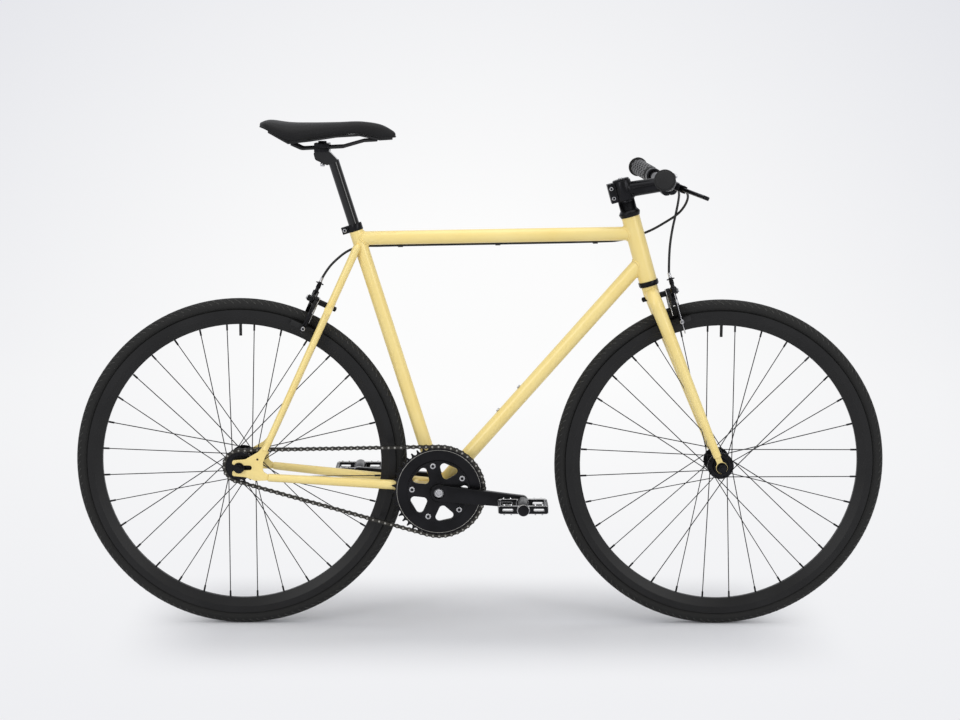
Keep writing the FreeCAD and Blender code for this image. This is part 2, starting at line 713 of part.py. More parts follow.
def bottle_cage_bolts():
    bolts = []
    for number in range(2):
        foot = BB + DOWN_AHEAD * (BOTTLE_BOLT_FIRST + number * BOTTLE_BOLT_SPACING)
        skin = foot + DOWN_OVER * (DOWN_TUBE_D / 2)
        bolt = rod(foot + DOWN_OVER * (DOWN_TUBE_D / 2 - 1), skin + DOWN_OVER * BOTTLE_BOLT_H, BOTTLE_BOLT_D / 2)
        bolts.append(bolt.cut(rod(BB, DOWN_TUBE_FRONT, DOWN_TUBE_D / 2)))
    return group(*bolts)


# Cable routes
TOP_AHEAD = (TOP_TUBE_FRONT - TOP_TUBE_REAR).normalize()


def under_top_tube(share):
    on_axis = TOP_TUBE_REAR + (TOP_TUBE_FRONT - TOP_TUBE_REAR) * share
    return on_axis + V(0, CLIP_SIDE, -(TOP_TUBE_D / 2 + CLIP_DROP))


def cable_clips():
    clips = []
    for share in CLIP_SHARES:
        middle = under_top_tube(share)
        start = middle - TOP_AHEAD * (CLIP_L / 2)
        end = middle + TOP_AHEAD * (CLIP_L / 2)
        clip = tube(start, end, CLIP_D / 2, HOUSING_D / 2)
        clips.append(clip.cut(rod(TOP_TUBE_REAR, TOP_TUBE_FRONT, TOP_TUBE_D / 2)))
    return group(*clips)


# Steering
AXLE_TO_CROWN = on_steer(CROWN_AT) - FRONT_AXLE
LEG_UP = V(AXLE_TO_CROWN.x, 0, AXLE_TO_CROWN.z).normalize()
FORK_END_Y = FRONT_OVER_LOCKNUTS / 2 + FORK_END_T / 2
LEG_CORNER = on_steer(CROWN_AT, 0, LEG_TOP_Y)
LEG_END = FRONT_AXLE + LEG_UP * LEG_END_ABOVE_AXLE + Y_AXIS * FORK_END_Y
LEG_HALF_ANGLE = (Y_AXIS * -1).getAngle(LEG_END - LEG_CORNER) / 2
LEG_BEND_RUN = LEG_BEND_R / math.tan(LEG_HALF_ANGLE)
CROWN_HALF_W = LEG_TOP_Y - LEG_BEND_RUN


def crown_neck():
    return rod(on_steer(CROWN_AT), on_steer(FORK_LENGTH), CROWN_NECK_D / 2)


def steerer_tube():
    top = on_steer(STEM_BOTTOM + STEM_CLAMP_H - 3)
    race = on_steer(FORK_LENGTH)
    column = tube(race, top, STEERER_D / 2, STEERER_D / 2 - STEERER_WALL)
    crown = drum(on_steer(CROWN_AT), -CROWN_HALF_W, CROWN_HALF_W, CROWN_D / 2).fuse(crown_neck())
    bolt_at = FORK_LENGTH - CALIPER_BOLT_BELOW_RACE
    hole = rod(on_steer(bolt_at, -CROWN_NECK_D), on_steer(bolt_at, CROWN_NECK_D), CENTRE_BOLT_HOLE_D / 2)
    return crown.cut(hole).fuse(column)


def fork_end():
    low = -FRONT_OVER_LOCKNUTS / 2 - FORK_END_T
    high = -FRONT_OVER_LOCKNUTS / 2
    half_w = FORK_END_TAB_W / 2
    tab = polygon([(0, -half_w), (FORK_END_TAB_L, -half_w), (FORK_END_TAB_L, half_w), (0, half_w)])
    slot_r = FORK_END_SLOT / 2
    slot = contour((0, slot_r), (slot_r, 0, 0, -slot_r), (-2 * FORK_END_R, -slot_r), (-2 * FORK_END_R, slot_r))
    plate = slab(disc(0, 0, FORK_END_R), low, high).fuse(slab(tab, low, high)).cut(slab(slot, low, high))
    return placed(plate.removeSplitter(), local(FRONT_AXLE, LEG_UP, Y_AXIS.cross(LEG_UP) * -1))


def fork_legs():
    start, middle, end, _ = turn_at(on_steer(CROWN_AT), LEG_CORNER, LEG_END, LEG_BEND_RUN)
    bend = Part.Wire(Part.Arc(start, middle, end).toShape())
    leg = swept(bend, LEG_TOP_D / 2).fuse(cone(end, LEG_END, LEG_TOP_D / 2, LEG_END_D / 2))
    plate = fork_end()
    leg = leg.cut(plate).cut(crown_neck())
    return group(leg, mirrored(leg), plate, mirrored(plate))


def headset_spacers():
    steerer_r = STEERER_D / 2
    race = tube(on_steer(FORK_LENGTH), on_steer(FORK_LENGTH + RACE_T), CUP_LOWER_D / 2 - 1, steerer_r)
    cover_low = on_steer(HEAD_TOP + UPPER_STACK / 2 + CLEARANCE)
    cover_high = on_steer(HEAD_TOP + UPPER_STACK)
    cover = cone(cover_low, cover_high, CUP_UPPER_D / 2, SPACER_D / 2).cut(rod(cover_low, cover_high, steerer_r))
    rings = []
    for number in range(SPACER_COUNT):
        low = HEAD_TOP + UPPER_STACK + number * SPACER_H
        rings.append(tube(on_steer(low), on_steer(low + SPACER_H), SPACER_D / 2, steerer_r))
    return group(race, cover, *rings)


STEM_FRAME = local(BAR_CENTRE, STEM_AHEAD, STEM_OVER)


def stem_block():
    half_l = STEM_BLOCK_L / 2
    half_h = STEM_BLOCK_H / 2
    fillet = STEM_BLOCK_FILLET
    outline = rounded_face([(-half_l, -half_h, fillet), (half_l, -half_h, fillet), (half_l, half_h, fillet),
                            (-half_l, half_h, fillet)])
    block = slab(outline, -STEM_BLOCK_W / 2, STEM_BLOCK_W / 2, STEM_FRAME)
    return block.cut(drum(BAR_CENTRE, -STEM_BLOCK_W, STEM_BLOCK_W, BAR_CENTRE_D / 2))


def stem_half(x_low, x_high):
    span = Part.makeBox(x_high - x_low, 2 * STEM_BLOCK_H, 2 * STEM_BLOCK_W,
                        V(x_low, -STEM_BLOCK_H, -STEM_BLOCK_W))
    return stem_block().common(placed(span, STEM_FRAME))


def pinch_bolt_places():
    quarter = STEM_CLAMP_H / 4
    back = -(STEM_CLAMP_D / 2 + PINCH_EAR_L / 2 - 1)
    return [on_steer(STEM_BOTTOM + quarter, back), on_steer(STEM_BOTTOM + 3 * quarter, back)]


def stem():
    low = on_steer(STEM_BOTTOM)
    high = on_steer(STEM_BOTTOM + STEM_CLAMP_H)
    clamp = rod(low, high, STEM_CLAMP_D / 2)
    ear_frame = local(low, STEER_FORE * -1, Y_AXIS * -1)
    ear_start = STEM_CLAMP_D / 2 - 4
    ears = Part.makeBox(PINCH_EAR_L + 4, PINCH_EAR_W, STEM_CLAMP_H, V(ear_start, -PINCH_EAR_W / 2, 0))
    slot = Part.makeBox(STEM_CLAMP_D, PINCH_SLOT, STEM_CLAMP_H, V(0, -PINCH_SLOT / 2, 0))
    body = clamp.fuse(placed(ears, ear_frame))
    neck_end = BAR_CENTRE - STEM_AHEAD * (STEM_BLOCK_L / 2 - 3)
    neck = cone(STEM_CENTRE, neck_end, STEM_TOP_D / 2, STEM_FRONT_D / 2)
    body = body.fuse(neck).cut(rod(low, high, STEERER_D / 2)).cut(placed(slot, ear_frame))
    body = body.fuse(stem_half(-STEM_BLOCK_L, -FACEPLATE_GAP / 2)).cut(drum(BAR_CENTRE, -50, 50, BAR_CENTRE_D / 2))
    return body


def stem_faceplate():
    return stem_half(FACEPLATE_GAP / 2, STEM_BLOCK_L)


def stem_bolts():
    """Heads of the faceplate and pinch bolts, and the steerer's top cap."""
    bolts = []
    front = STEM_BLOCK_L / 2
    for up in (-STEM_BOLT_UP, STEM_BOLT_UP):
        for out in (-STEM_BOLT_OUT, STEM_BOLT_OUT):
            at = BAR_CENTRE + STEM_AHEAD * front + STEM_OVER * up + Y_AXIS * out
            bolts.append(rod(at, at + STEM_AHEAD * STEM_BOLT_HEAD_H, STEM_BOLT_HEAD_D / 2))
    for place in pinch_bolt_places():
        bolts.append(drum(place, -PINCH_EAR_W / 2 - STEM_BOLT_HEAD_H, -PINCH_EAR_W / 2, STEM_BOLT_HEAD_D / 2))
    high = STEM_BOTTOM + STEM_CLAMP_H
    cap = rod(on_steer(high), on_steer(high + TOP_CAP_H), STEM_CLAMP_D / 2 - 2)
    return group(cap, *bolts)


BAR_BEND = BAR_CENTRE + Y_AXIS * -BAR_BEND_Y
BAR_END = BAR_CENTRE + V(-BAR_SWEEP_BACK, -BAR_HALF_W, BAR_SWEEP_UP)
BAR_OUT = (BAR_END - BAR_BEND).normalize()


def handlebar():
    flip = V(1, -1, 1)
    left = [V(p.x * flip.x, p.y * flip.y, p.z * flip.z) for p in (BAR_BEND, BAR_END)]
    path = bent_route([BAR_END, BAR_BEND, left[0], left[1]], BAR_BEND_R)
    half_w = BAR_CENTRE_W / 2
    bulge = drum(BAR_CENTRE, -half_w, half_w, BAR_CENTRE_D / 2)
    for side in (-1, 1):
        bulge = bulge.fuse(cone(BAR_CENTRE + Y_AXIS * (side * half_w),
                                BAR_CENTRE + Y_AXIS * (side * (half_w + BAR_TAPER_L)), BAR_CENTRE_D / 2, BAR_D / 2))
    return swept(path, BAR_D / 2).fuse(bulge).cut(swept(path, BAR_D / 2 - BAR_WALL))


def grips():
    start = BAR_END - BAR_OUT * GRIP_L
    body = rod(start, BAR_END, GRIP_D / 2)
    flange = rod(BAR_END - BAR_OUT * GRIP_FLANGE_T, BAR_END, GRIP_FLANGE_D / 2)
    cap = rod(BAR_END, BAR_END + BAR_OUT * GRIP_CAP_T, GRIP_CAP_D / 2)
    return both_sides(body.fuse(flange).cut(rod(start, BAR_END, BAR_D / 2)).fuse(cap))


PERCH_AT = BAR_END - BAR_OUT * PERCH_FROM_END
PERCH_FLAT = (X_AXIS - BAR_OUT * X_AXIS.dot(BAR_OUT)).normalize()
PERCH_TILT_RAD = math.radians(PERCH_TILT)
PERCH_AHEAD = PERCH_FLAT * math.cos(PERCH_TILT_RAD) - BAR_OUT.cross(PERCH_FLAT) * math.sin(PERCH_TILT_RAD)
PERCH_FRAME = local(PERCH_AT, BAR_OUT, PERCH_AHEAD)


def brake_lever_perches():
    half_w = PERCH_RING_W / 2
    half_t = PERCH_BODY_T / 2
    ring = rod(V(-half_w, 0, 0), V(half_w, 0, 0), PERCH_RING_D / 2)
    body = Part.makeBox(PERCH_RING_W + 4, PERCH_REACH - 8, PERCH_BODY_T, V(-half_w - 4, 8, -half_t))
    hub_r = LEVER_HUB_D / 2
    slot_t = LEVER_T + 2 * CLEARANCE
    slot_from = LEVER_PIVOT_AHEAD - hub_r - 1
    slot = Part.makeBox(60, 60, slot_t, V(LEVER_PIVOT_OUT - hub_r - 1, slot_from, -slot_t / 2))
    body = ring.fuse(body).cut(slot).cut(rod(V(-60, 0, 0), V(60, 0, 0), BAR_D / 2))
    pin_at = V(LEVER_PIVOT_OUT, LEVER_PIVOT_AHEAD, 0)
    pin = rod(pin_at - Z_AXIS * (half_t + 0.6), pin_at + Z_AXIS * (half_t + 0.6), LEVER_PIN_D / 2)
    wall = -half_w - 4
    adjuster = rod(V(wall - ADJUSTER_L, ADJUSTER_AHEAD, 0), V(wall, ADJUSTER_AHEAD, 0), ADJUSTER_D / 2)
    return both_sides(placed(group(body.cut(pin), pin, adjuster), PERCH_FRAME))


def brake_lever():
    pivot = (LEVER_PIVOT_OUT, LEVER_PIVOT_AHEAD)
    blade = contour((pivot[0] - 4, pivot[1] + 5), (40, 64, 98, 88), (98, 77), (45, 51, pivot[0] + 4, pivot[1] - 5))
    half_t = LEVER_T / 2
    solid = slab(blade, -half_t, half_t)
    for end in (disc(*pivot, LEVER_HUB_D / 2), disc(98, 82.5, LEVER_TIP_D / 2)):
        solid = solid.fuse(slab(end, -half_t, half_t))
    pin_at = V(*pivot, 0)
    pin = rod(pin_at - Z_AXIS * LEVER_T, pin_at + Z_AXIS * LEVER_T, LEVER_PIN_D / 2 + RUNNING_FIT)
    return placed(solid.removeSplitter().cut(pin), PERCH_FRAME)


# Brakes
FRONT_CALIPER_AT = on_steer(FORK_LENGTH - CALIPER_BOLT_BELOW_RACE, FRONT_CALIPER_REACH)
REAR_CALIPER_AT = BRIDGE + REAR_CALIPER_OUT * REAR_CALIPER_REACH
FRONT_CALIPER = local(FRONT_CALIPER_AT, Y_AXIS, STEER_UP)
REAR_CALIPER = local(REAR_CALIPER_AT, Y_AXIS * -1, REAR_CALIPER_UP)
PAD_MID_W = ARM_T + 2


def pad_drop(at, up, out, axle):
    """Distance below the caliper's pivot at which the pad's middle meets the brake track."""
    from_axle = at + out * PAD_MID_W - axle
    along = from_axle.dot(up)
    off = (from_axle - up * along).Length
    return along - math.sqrt(TRACK_MID_R**2 - off**2)


FRONT_PAD_DROP = pad_drop(FRONT_CALIPER_AT, STEER_UP, STEER_FORE, FRONT_AXLE)
REAR_PAD_DROP = pad_drop(REAR_CALIPER_AT, REAR_CALIPER_UP, REAR_CALIPER_OUT, REAR_AXLE)
ARM_OUT_R = ARM_IN_R + ARM_W
INNER_ARM = (2.0, 2.0 + ARM_T)
OUTER_ARM = (INNER_ARM[1] + ARM_GAP, INNER_ARM[1] + ARM_GAP + ARM_T)


def arm_plate(side, layer, drop, extension_end):
    """Flat brake arm: arch over the tyre, leg down to the pad, boss at the pivot and a reach to the cable."""
    low = -drop - ARM_BELOW_PAD
    mid = -ARM_ARCH_DROP
    slant = math.sqrt(0.5)
    arch = contour(
        (0, mid + ARM_OUT_R), (side * ARM_OUT_R * slant, mid + ARM_OUT_R * slant, side * ARM_OUT_R, mid),
        (side * ARM_OUT_R, low), (side * ARM_IN_R, low), (side * ARM_IN_R, mid),
        (side * ARM_IN_R * slant, mid + ARM_IN_R * slant, 0, mid + ARM_IN_R))
    plate = slab(arch, *layer)
    for face in (disc(0, 0, ARM_BOSS_D / 2), capsule((0, 0), extension_end, ARM_EXTENSION_W / 2)):
        plate = plate.fuse(slab(face, *layer))
    middle = (layer[0] + layer[1]) / 2
    pivot = rod(V(0, 0, -60), V(0, 0, 60), PIVOT_BOLT_D / 2 + RUNNING_FIT)
    stud = rod(V(side * (ARM_IN_R - 4), -drop, middle), V(side * (ARM_OUT_R + 4), -drop, middle), STUD_D / 2)
    return plate.removeSplitter().cut(pivot).cut(stud)


def inner_arm(frame, drop):
    arm = arm_plate(1, INNER_ARM, drop, (-CABLE_SIDE_OUT, -ANCHOR_DROP))
    anchor_at = V(-CABLE_SIDE_OUT, -ANCHOR_DROP, INNER_ARM[1])
    anchor = rod(anchor_at, anchor_at + Z_AXIS * 3, ARM_EXTENSION_W / 2 - 1)
    return placed(arm.fuse(anchor), frame)


def outer_arm(frame, drop):
    arm = arm_plate(-1, OUTER_ARM, drop, (-CABLE_SIDE_OUT, BARREL_UP))
    middle = (OUTER_ARM[0] + OUTER_ARM[1]) / 2
    foot = V(-CABLE_SIDE_OUT, BARREL_UP, middle)
    boss = rod(foot - Y_AXIS * 6, foot + Y_AXIS * 6, BARREL_BOSS_D / 2)
    barrel = rod(foot, V(foot.x, BARREL_TOP, middle), BARREL_D / 2)
    lock = rod(V(foot.x, BARREL_TOP - 4, middle), V(foot.x, BARREL_TOP - 2, middle), BARREL_D - 0.5)
    bore = rod(foot - Y_AXIS * 20, V(foot.x, BARREL_TOP + 1, middle), INNER_WIRE_D / 2 + CLEARANCE)
    return placed(arm.fuse(boss).fuse(barrel).fuse(lock).cut(bore), frame)


def brake_pad(frame, side, layer, drop):
    rim_half = RIM_WIDTH / 2
    near = rim_half + PAD_GAP
    block = Part.makeBox(PAD_T, PAD_H, PAD_L, V(near, -drop - PAD_H / 2, PAD_MID_W - PAD_L / 2))
    middle = (layer[0] + layer[1]) / 2
    at = V(0, -drop, middle)
    stud = rod(at + X_AXIS * (near + PAD_T), at + X_AXIS * (ARM_OUT_R + STUD_NUT_T), STUD_D / 2)
    nut = rod(at + X_AXIS * ARM_OUT_R, at + X_AXIS * (ARM_OUT_R + STUD_NUT_T - 1), STUD_NUT_FLATS / 2)
    pad = block.fuse(stud).fuse(nut)
    if side < 0:
        pad = pad.mirror(V(0, 0, 0), X_AXIS)
    return placed(pad, frame)


def brake_bolt(frame, reach, seat_r, carrier):
    through = rod(V(0, 0, -reach - seat_r - 6), V(0, 0, OUTER_ARM[1] + 7), CENTRE_BOLT_D / 2)
    spacer = rod(V(0, 0, -reach), V(0, 0, INNER_ARM[0] - CLEARANCE), PIVOT_BOLT_D / 2 + 2)
    pivot = rod(V(0, 0, -reach + seat_r), V(0, 0, OUTER_ARM[1] + CLEARANCE), PIVOT_BOLT_D / 2)
    nut = rod(V(0, 0, OUTER_ARM[1] + CLEARANCE), V(0, 0, OUTER_ARM[1] + 6), PIVOT_BOLT_D / 2 + 2.5)
    back_nut = rod(V(0, 0, -reach - seat_r - 5), V(0, 0, -reach), PIVOT_BOLT_D / 2 + 1)
    bolt = placed(through.fuse(spacer).fuse(pivot).fuse(nut).fuse(back_nut), frame)
    hole = placed(rod(V(0, 0, -reach - seat_r - 9), V(0, 0, 0), CENTRE_BOLT_HOLE_D / 2), frame)
    return bolt.cut(carrier.fuse(hole.common(carrier)))


def barrel_top(frame, up):
    middle = (OUTER_ARM[0] + OUTER_ARM[1]) / 2
    return frame.multVec(V(-CABLE_SIDE_OUT, up, middle))


def inner_wire(frame):
    middle = (OUTER_ARM[0] + OUTER_ARM[1]) / 2
    top = V(-CABLE_SIDE_OUT, BARREL_TOP, middle)
    end = V(-CABLE_SIDE_OUT, -ANCHOR_DROP - WIRE_TAIL, middle)
    return placed(rod(end, top, INNER_WIRE_D / 2), frame)


def lever_ferrule():
    start = V(-PERCH_RING_W / 2 - 4 - ADJUSTER_L, ADJUSTER_AHEAD, 0)
    return placed(rod(start - X_AXIS * FERRULE_L, start, FERRULE_D / 2), PERCH_FRAME)


def cable(name, points, frame, ferrule):
    path, radii = smooth_route(points)
    housing = swept(path, HOUSING_D / 2)
    plain = math.pi * HOUSING_D**2 / 4 * path.Length
    print(name, "arc radii", [round(radius, 1) for radius in radii], "volume ratio", round(housing.Volume / plain, 4))
    low = rod(barrel_top(frame, BARREL_TOP), barrel_top(frame, BARREL_TOP + FERRULE_L), FERRULE_D / 2)
    return group(housing, low, ferrule, inner_wire(frame))


def housing_start():
    start = V(-PERCH_RING_W / 2 - 4 - ADJUSTER_L - FERRULE_L, ADJUSTER_AHEAD, 0)
    return PERCH_FRAME.multVec(start)


def front_brake_cable():
    start = housing_start()
    end = barrel_top(FRONT_CALIPER, BARREL_TOP + FERRULE_L)
    points = [V(start.x, -start.y, start.z)]
    points += [BAR_CENTRE + V(*step) for step in FRONT_CABLE_FROM_BAR]
    points += [end + V(*step) for step in FRONT_CABLE_FROM_BARREL] + [end]
    return cable("front brake cable", points, FRONT_CALIPER, mirrored(lever_ferrule()))


def rear_brake_cable():
    end = barrel_top(REAR_CALIPER, BARREL_TOP + FERRULE_L)
    points = [housing_start()] + [BAR_CENTRE + V(*step) for step in REAR_CABLE_FROM_BAR]
    points += [TOP_TUBE_FRONT + V(*step) for step in REAR_CABLE_FROM_HEAD]
    points += [under_top_tube(share) for share in REAR_CABLE_SHARES]
    points += [TOP_TUBE_REAR + V(*step) for step in REAR_CABLE_FROM_SEAT]
    points += [end + V(*step) for step in REAR_CABLE_FROM_BARREL] + [end]
    return cable("rear brake cable", points, REAR_CALIPER, lever_ferrule())


# Wheels
def rim(axle):
    half = RIM_WIDTH / 2
    bead_r = BEAD_SEAT_D / 2
    inside = half - RIM_WALL
    profile = spool([
        (RIM_NOSE_R, RIM_NOSE_W / 2), (TRACK_LOW_R, half), (RIM_EDGE_R, half), (RIM_EDGE_R, inside),
        (bead_r, inside), (bead_r, RIM_WELL_W / 2), (bead_r - RIM_WELL_DEPTH, RIM_WELL_W / 2)])
    valve_low = axle + V(0, 0, RIM_NOSE_R - VALVE_L)
    valve = rod(valve_low, axle + V(0, 0, RIM_NOSE_R), VALVE_D / 2)
    hoop = turned(profile, axle)
    return group(hoop, valve.cut(hoop))


def tyre(axle):
    bead_r = BEAD_SEAT_D / 2 + RUNNING_FIT
    foot = TYRE_SHOULDER_W / 2
    edge_r = RIM_EDGE_R + CLEARANCE
    section = contour((bead_r, -foot), (edge_r, -foot), (TYRE_R, 0, edge_r, foot), (bead_r, foot))
    return turned(section, axle)


def wheel_point(axle, radius, angle, y):
    return axle + V(radius * math.cos(angle), y, radius * math.sin(angle))


def spokes(axle, flange_y, circle_d):
    """Three-cross lacing: trailing spokes outside each flange, leading ones inside."""
    pieces = []
    holes = SPOKE_COUNT // 2
    step = 2 * math.pi / holes
    reach = SPOKE_CROSSES * step
    beside = FLANGE_T / 2 + SPOKE_D / 2 + SPOKE_GAP
    for side in (1, -1):
        phase = step / 4 if side > 0 else step / 4 + step / 2
        for hole in range(holes):
            trailing = hole % 2 == 0
            offset = beside + SPOKE_LEAN if trailing else -beside
            hub_angle = phase + hole * step
            rim_angle = hub_angle + (reach if trailing else -reach)
            foot = wheel_point(axle, circle_d / 2, hub_angle, side * (flange_y + offset))
            tip = wheel_point(axle, RIM_NOSE_R - NIPPLE_GAP, rim_angle, side * RIM_NOSE_W / 8)
            neck = tip - (tip - foot).normalize() * NIPPLE_L
            pieces.append(prism(foot, neck, SPOKE_D / 2, 6).fuse(prism(neck, tip, NIPPLE_D / 2, 6)))
    return group(*pieces)


def front_hub():
    shell_r = FRONT_SHELL_D / 2
    flange_r = FRONT_SPOKE_CIRCLE_D / 2 + FLANGE_RIM
    flange_in = FRONT_FLANGE_Y - FLANGE_T / 2
    flange_out = FRONT_FLANGE_Y + FLANGE_T / 2
    end = FRONT_OVER_LOCKNUTS / 2 - LOCKNUT_T - LOCKNUT_GAP
    profile = spool([
        (shell_r, flange_in - 10), (shell_r + 4, flange_in), (flange_r, flange_in), (flange_r, flange_out),
        (shell_r + 3, flange_out), (shell_r + 1, end), (FRONT_AXLE_D / 2 + CONE_WALL + RUNNING_FIT, end)])
    return turned(profile, FRONT_AXLE)


def rear_hub():
    shell_r = REAR_SHELL_D / 2
    flange_r = REAR_SPOKE_CIRCLE_D / 2 + FLANGE_RIM
    flange_in = REAR_FLANGE_Y - FLANGE_T / 2
    flange_out = REAR_FLANGE_Y + FLANGE_T / 2
    cog_in = CHAINLINE - SPROCKET_T / 2
    cog_out = CHAINLINE + SPROCKET_T / 2
    end = REAR_OVER_LOCKNUTS / 2 - LOCKNUT_T - LOCKNUT_GAP
    profile = spool([
        (shell_r, flange_in - 6), (shell_r + 3, flange_in), (flange_r, flange_in), (flange_r, flange_out),
        (COG_THREAD_D / 2 + 3, flange_out + 2), (COG_THREAD_D / 2 + 3, cog_in), (COG_THREAD_D / 2, cog_in),
        (COG_THREAD_D / 2, cog_out), (LOCKRING_THREAD_D / 2, cog_out), (LOCKRING_THREAD_D / 2, end),
        (REAR_AXLE_D / 2 + CONE_WALL + RUNNING_FIT, end)])
    return turned(profile, REAR_AXLE)


def axle_set(axle, width, axle_d, length, end_t):
    """Axle with its cones and locknuts, and the washer and nut outside each end plate."""
    half = width / 2
    axle_r = axle_d / 2
    cone_r = axle_r + CONE_WALL
    shaft = drum(axle, -length / 2, length / 2, axle_r).fuse(drum(axle, -half, half, cone_r))
    locknut = drum(axle, half - LOCKNUT_T, half, cone_r + 3)
    shaft = shaft.fuse(locknut).fuse(mirrored(locknut))
    outside = half + end_t
    washer = drum(axle, outside, outside + WASHER_T, WASHER_D / 2, axle_r)
    nut = hexagon_nut(axle, outside + WASHER_T, outside + WASHER_T + AXLE_NUT_T, AXLE_NUT_FLATS, axle_r)
    return group(shaft, washer, mirrored(washer), nut, mirrored(nut))


# Chain drive
RING_FRAME = local(BB + Y_AXIS * -CHAINLINE, DRIVE_AHEAD, DRIVE_UP)
COG_FRAME = local(REAR_AXLE + Y_AXIS * -CHAINLINE, DRIVE_AHEAD, DRIVE_UP)


def turned_point(x, y, angle):
    return x * math.cos(angle) - y * math.sin(angle), x * math.sin(angle) + y * math.cos(angle)


def sprocket_face(teeth, first_gap):
    """Tooth outline: a round gap under each roller and a tapered tooth with a flat tip between gaps."""
    radius = pitch_radius(teeth)
    step = 2 * math.pi / teeth
    open_angle = math.radians(62)
    gap_x = radius - TOOTH_GAP_R * math.cos(open_angle)
    gap_y = TOOTH_GAP_R * math.sin(open_angle)
    tip_r = radius + TOOTH_H
    steps = []
    for tooth in range(teeth):
        angle = first_gap + tooth * step
        middle = turned_point(radius - TOOTH_GAP_R, 0, angle)
        steps.append((*middle, *turned_point(gap_x, gap_y, angle)))
        steps.append(turned_point(tip_r, -TOOTH_TIP_W / 2, angle + step / 2))
        steps.append(turned_point(tip_r, TOOTH_TIP_W / 2, angle + step / 2))
        steps.append(turned_point(gap_x, -gap_y, angle + step))
    return contour(turned_point(gap_x, -gap_y, first_gap), *steps)


def roller_points():
    """Roller centres round the loop, in the plane of the chain with the cog's centre as origin."""
    points = []
    for k in range(RING_WRAP + 1):
        angle = -RING_HALF_WRAP + 2 * math.pi * k / RING_TEETH
        points.append(V(CENTRE_DISTANCE + RING_R * math.cos(angle), RING_R * math.sin(angle), 0))
    cog = []
    for k in range(COG_WRAP + 1):
        angle = math.pi - COG_HALF_WRAP + 2 * math.pi * k / COG_TEETH
        cog.append(V(COG_R * math.cos(angle), COG_R * math.sin(angle), 0))
    upper = [points[-1] + (cog[0] - points[-1]) * (k / RUN_LINKS) for k in range(1, RUN_LINKS)]
    lower = [cog[-1] + (points[0] - cog[-1]) * (k / RUN_LINKS) for k in range(1, RUN_LINKS)]
    return points + upper + cog + lower


def link_plate():
    end = CHAIN_PITCH / 2 + PLATE_END
    return polygon([(-end, -PLATE_H / 2), (0, -PLATE_WAIST_H / 2), (end, -PLATE_H / 2), (end, PLATE_H / 2),
                    (0, PLATE_WAIST_H / 2), (-end, PLATE_H / 2)])


def chain():
    rollers = roller_points()
    plate = link_plate()
    pieces = []
    for number, here in enumerate(rollers):
        there = rollers[(number + 1) % len(rollers)]
        ahead = (there - here).normalize()
        at = local((here + there) * 0.5, ahead, Z_AXIS.cross(ahead))
        near = ROLLER_W / 2 + (PLATE_T if number % 2 else 0)
        for low in (near, -near - PLATE_T):
            pieces.append(slab(plate, low, low + PLATE_T, at))
        pieces.append(prism(here - Z_AXIS * (ROLLER_W / 2), here + Z_AXIS * (ROLLER_W / 2), ROLLER_D / 2, 6))
    return placed(group(*pieces), COG_FRAME)


def cog():
    face = sprocket_face(COG_TEETH, math.pi - COG_HALF_WRAP).cut(disc(0, 0, COG_THREAD_D / 2))
    ring = slab(face, -SPROCKET_T / 2, SPROCKET_T / 2, COG_FRAME)
    outside = CHAINLINE + SPROCKET_T / 2
    lockring = drum(REAR_AXLE, -outside - LOCKRING_T, -outside, LOCKRING_D / 2, LOCKRING_THREAD_D / 2)
    return group(ring, lockring)


CRANK_RAD = math.radians(CRANK_ANGLE)
CRANK_AHEAD = V(math.cos(CRANK_RAD), 0, math.sin(CRANK_RAD))
CRANK_UP = V(-math.sin(CRANK_RAD), 0, math.cos(CRANK_RAD))
CRANK_FRAME = local(BB, CRANK_AHEAD, CRANK_UP)
SPIDER_IN = CHAINLINE + SPROCKET_T / 2


def spider_windows(face):
    spread = math.radians(WINDOW_SPREAD)
    for arm in range(SPIDER_ARMS):
        angle = 2 * math.pi * arm / SPIDER_ARMS
        corners = []
        for radius, turn in ((WINDOW_IN_R, 0), (WINDOW_OUT_R, spread), (WINDOW_OUT_R, -spread)):
            corners.append((radius * math.cos(angle + turn), radius * math.sin(angle + turn), WINDOW_FILLET))
        face = face.cut(rounded_face(corners))
    return face


def ring_bolt_places():
    places = []
    for arm in range(SPIDER_ARMS):
        angle = 2 * math.pi * (arm + 0.5) / SPIDER_ARMS
        places.append(V(BOLT_CIRCLE_D / 2 * math.cos(angle), BOLT_CIRCLE_D / 2 * math.sin(angle), 0))
    return places


def chainring():
    turn = math.atan2(DRIVE_AHEAD.z, DRIVE_AHEAD.x) - CRANK_RAD
    face = sprocket_face(RING_TEETH, RING_HALF_WRAP + turn).cut(disc(0, 0, SPIDER_BORE_D / 2))
    return slab(spider_windows(face), CHAINLINE - SPROCKET_T / 2, SPIDER_IN, CRANK_FRAME)


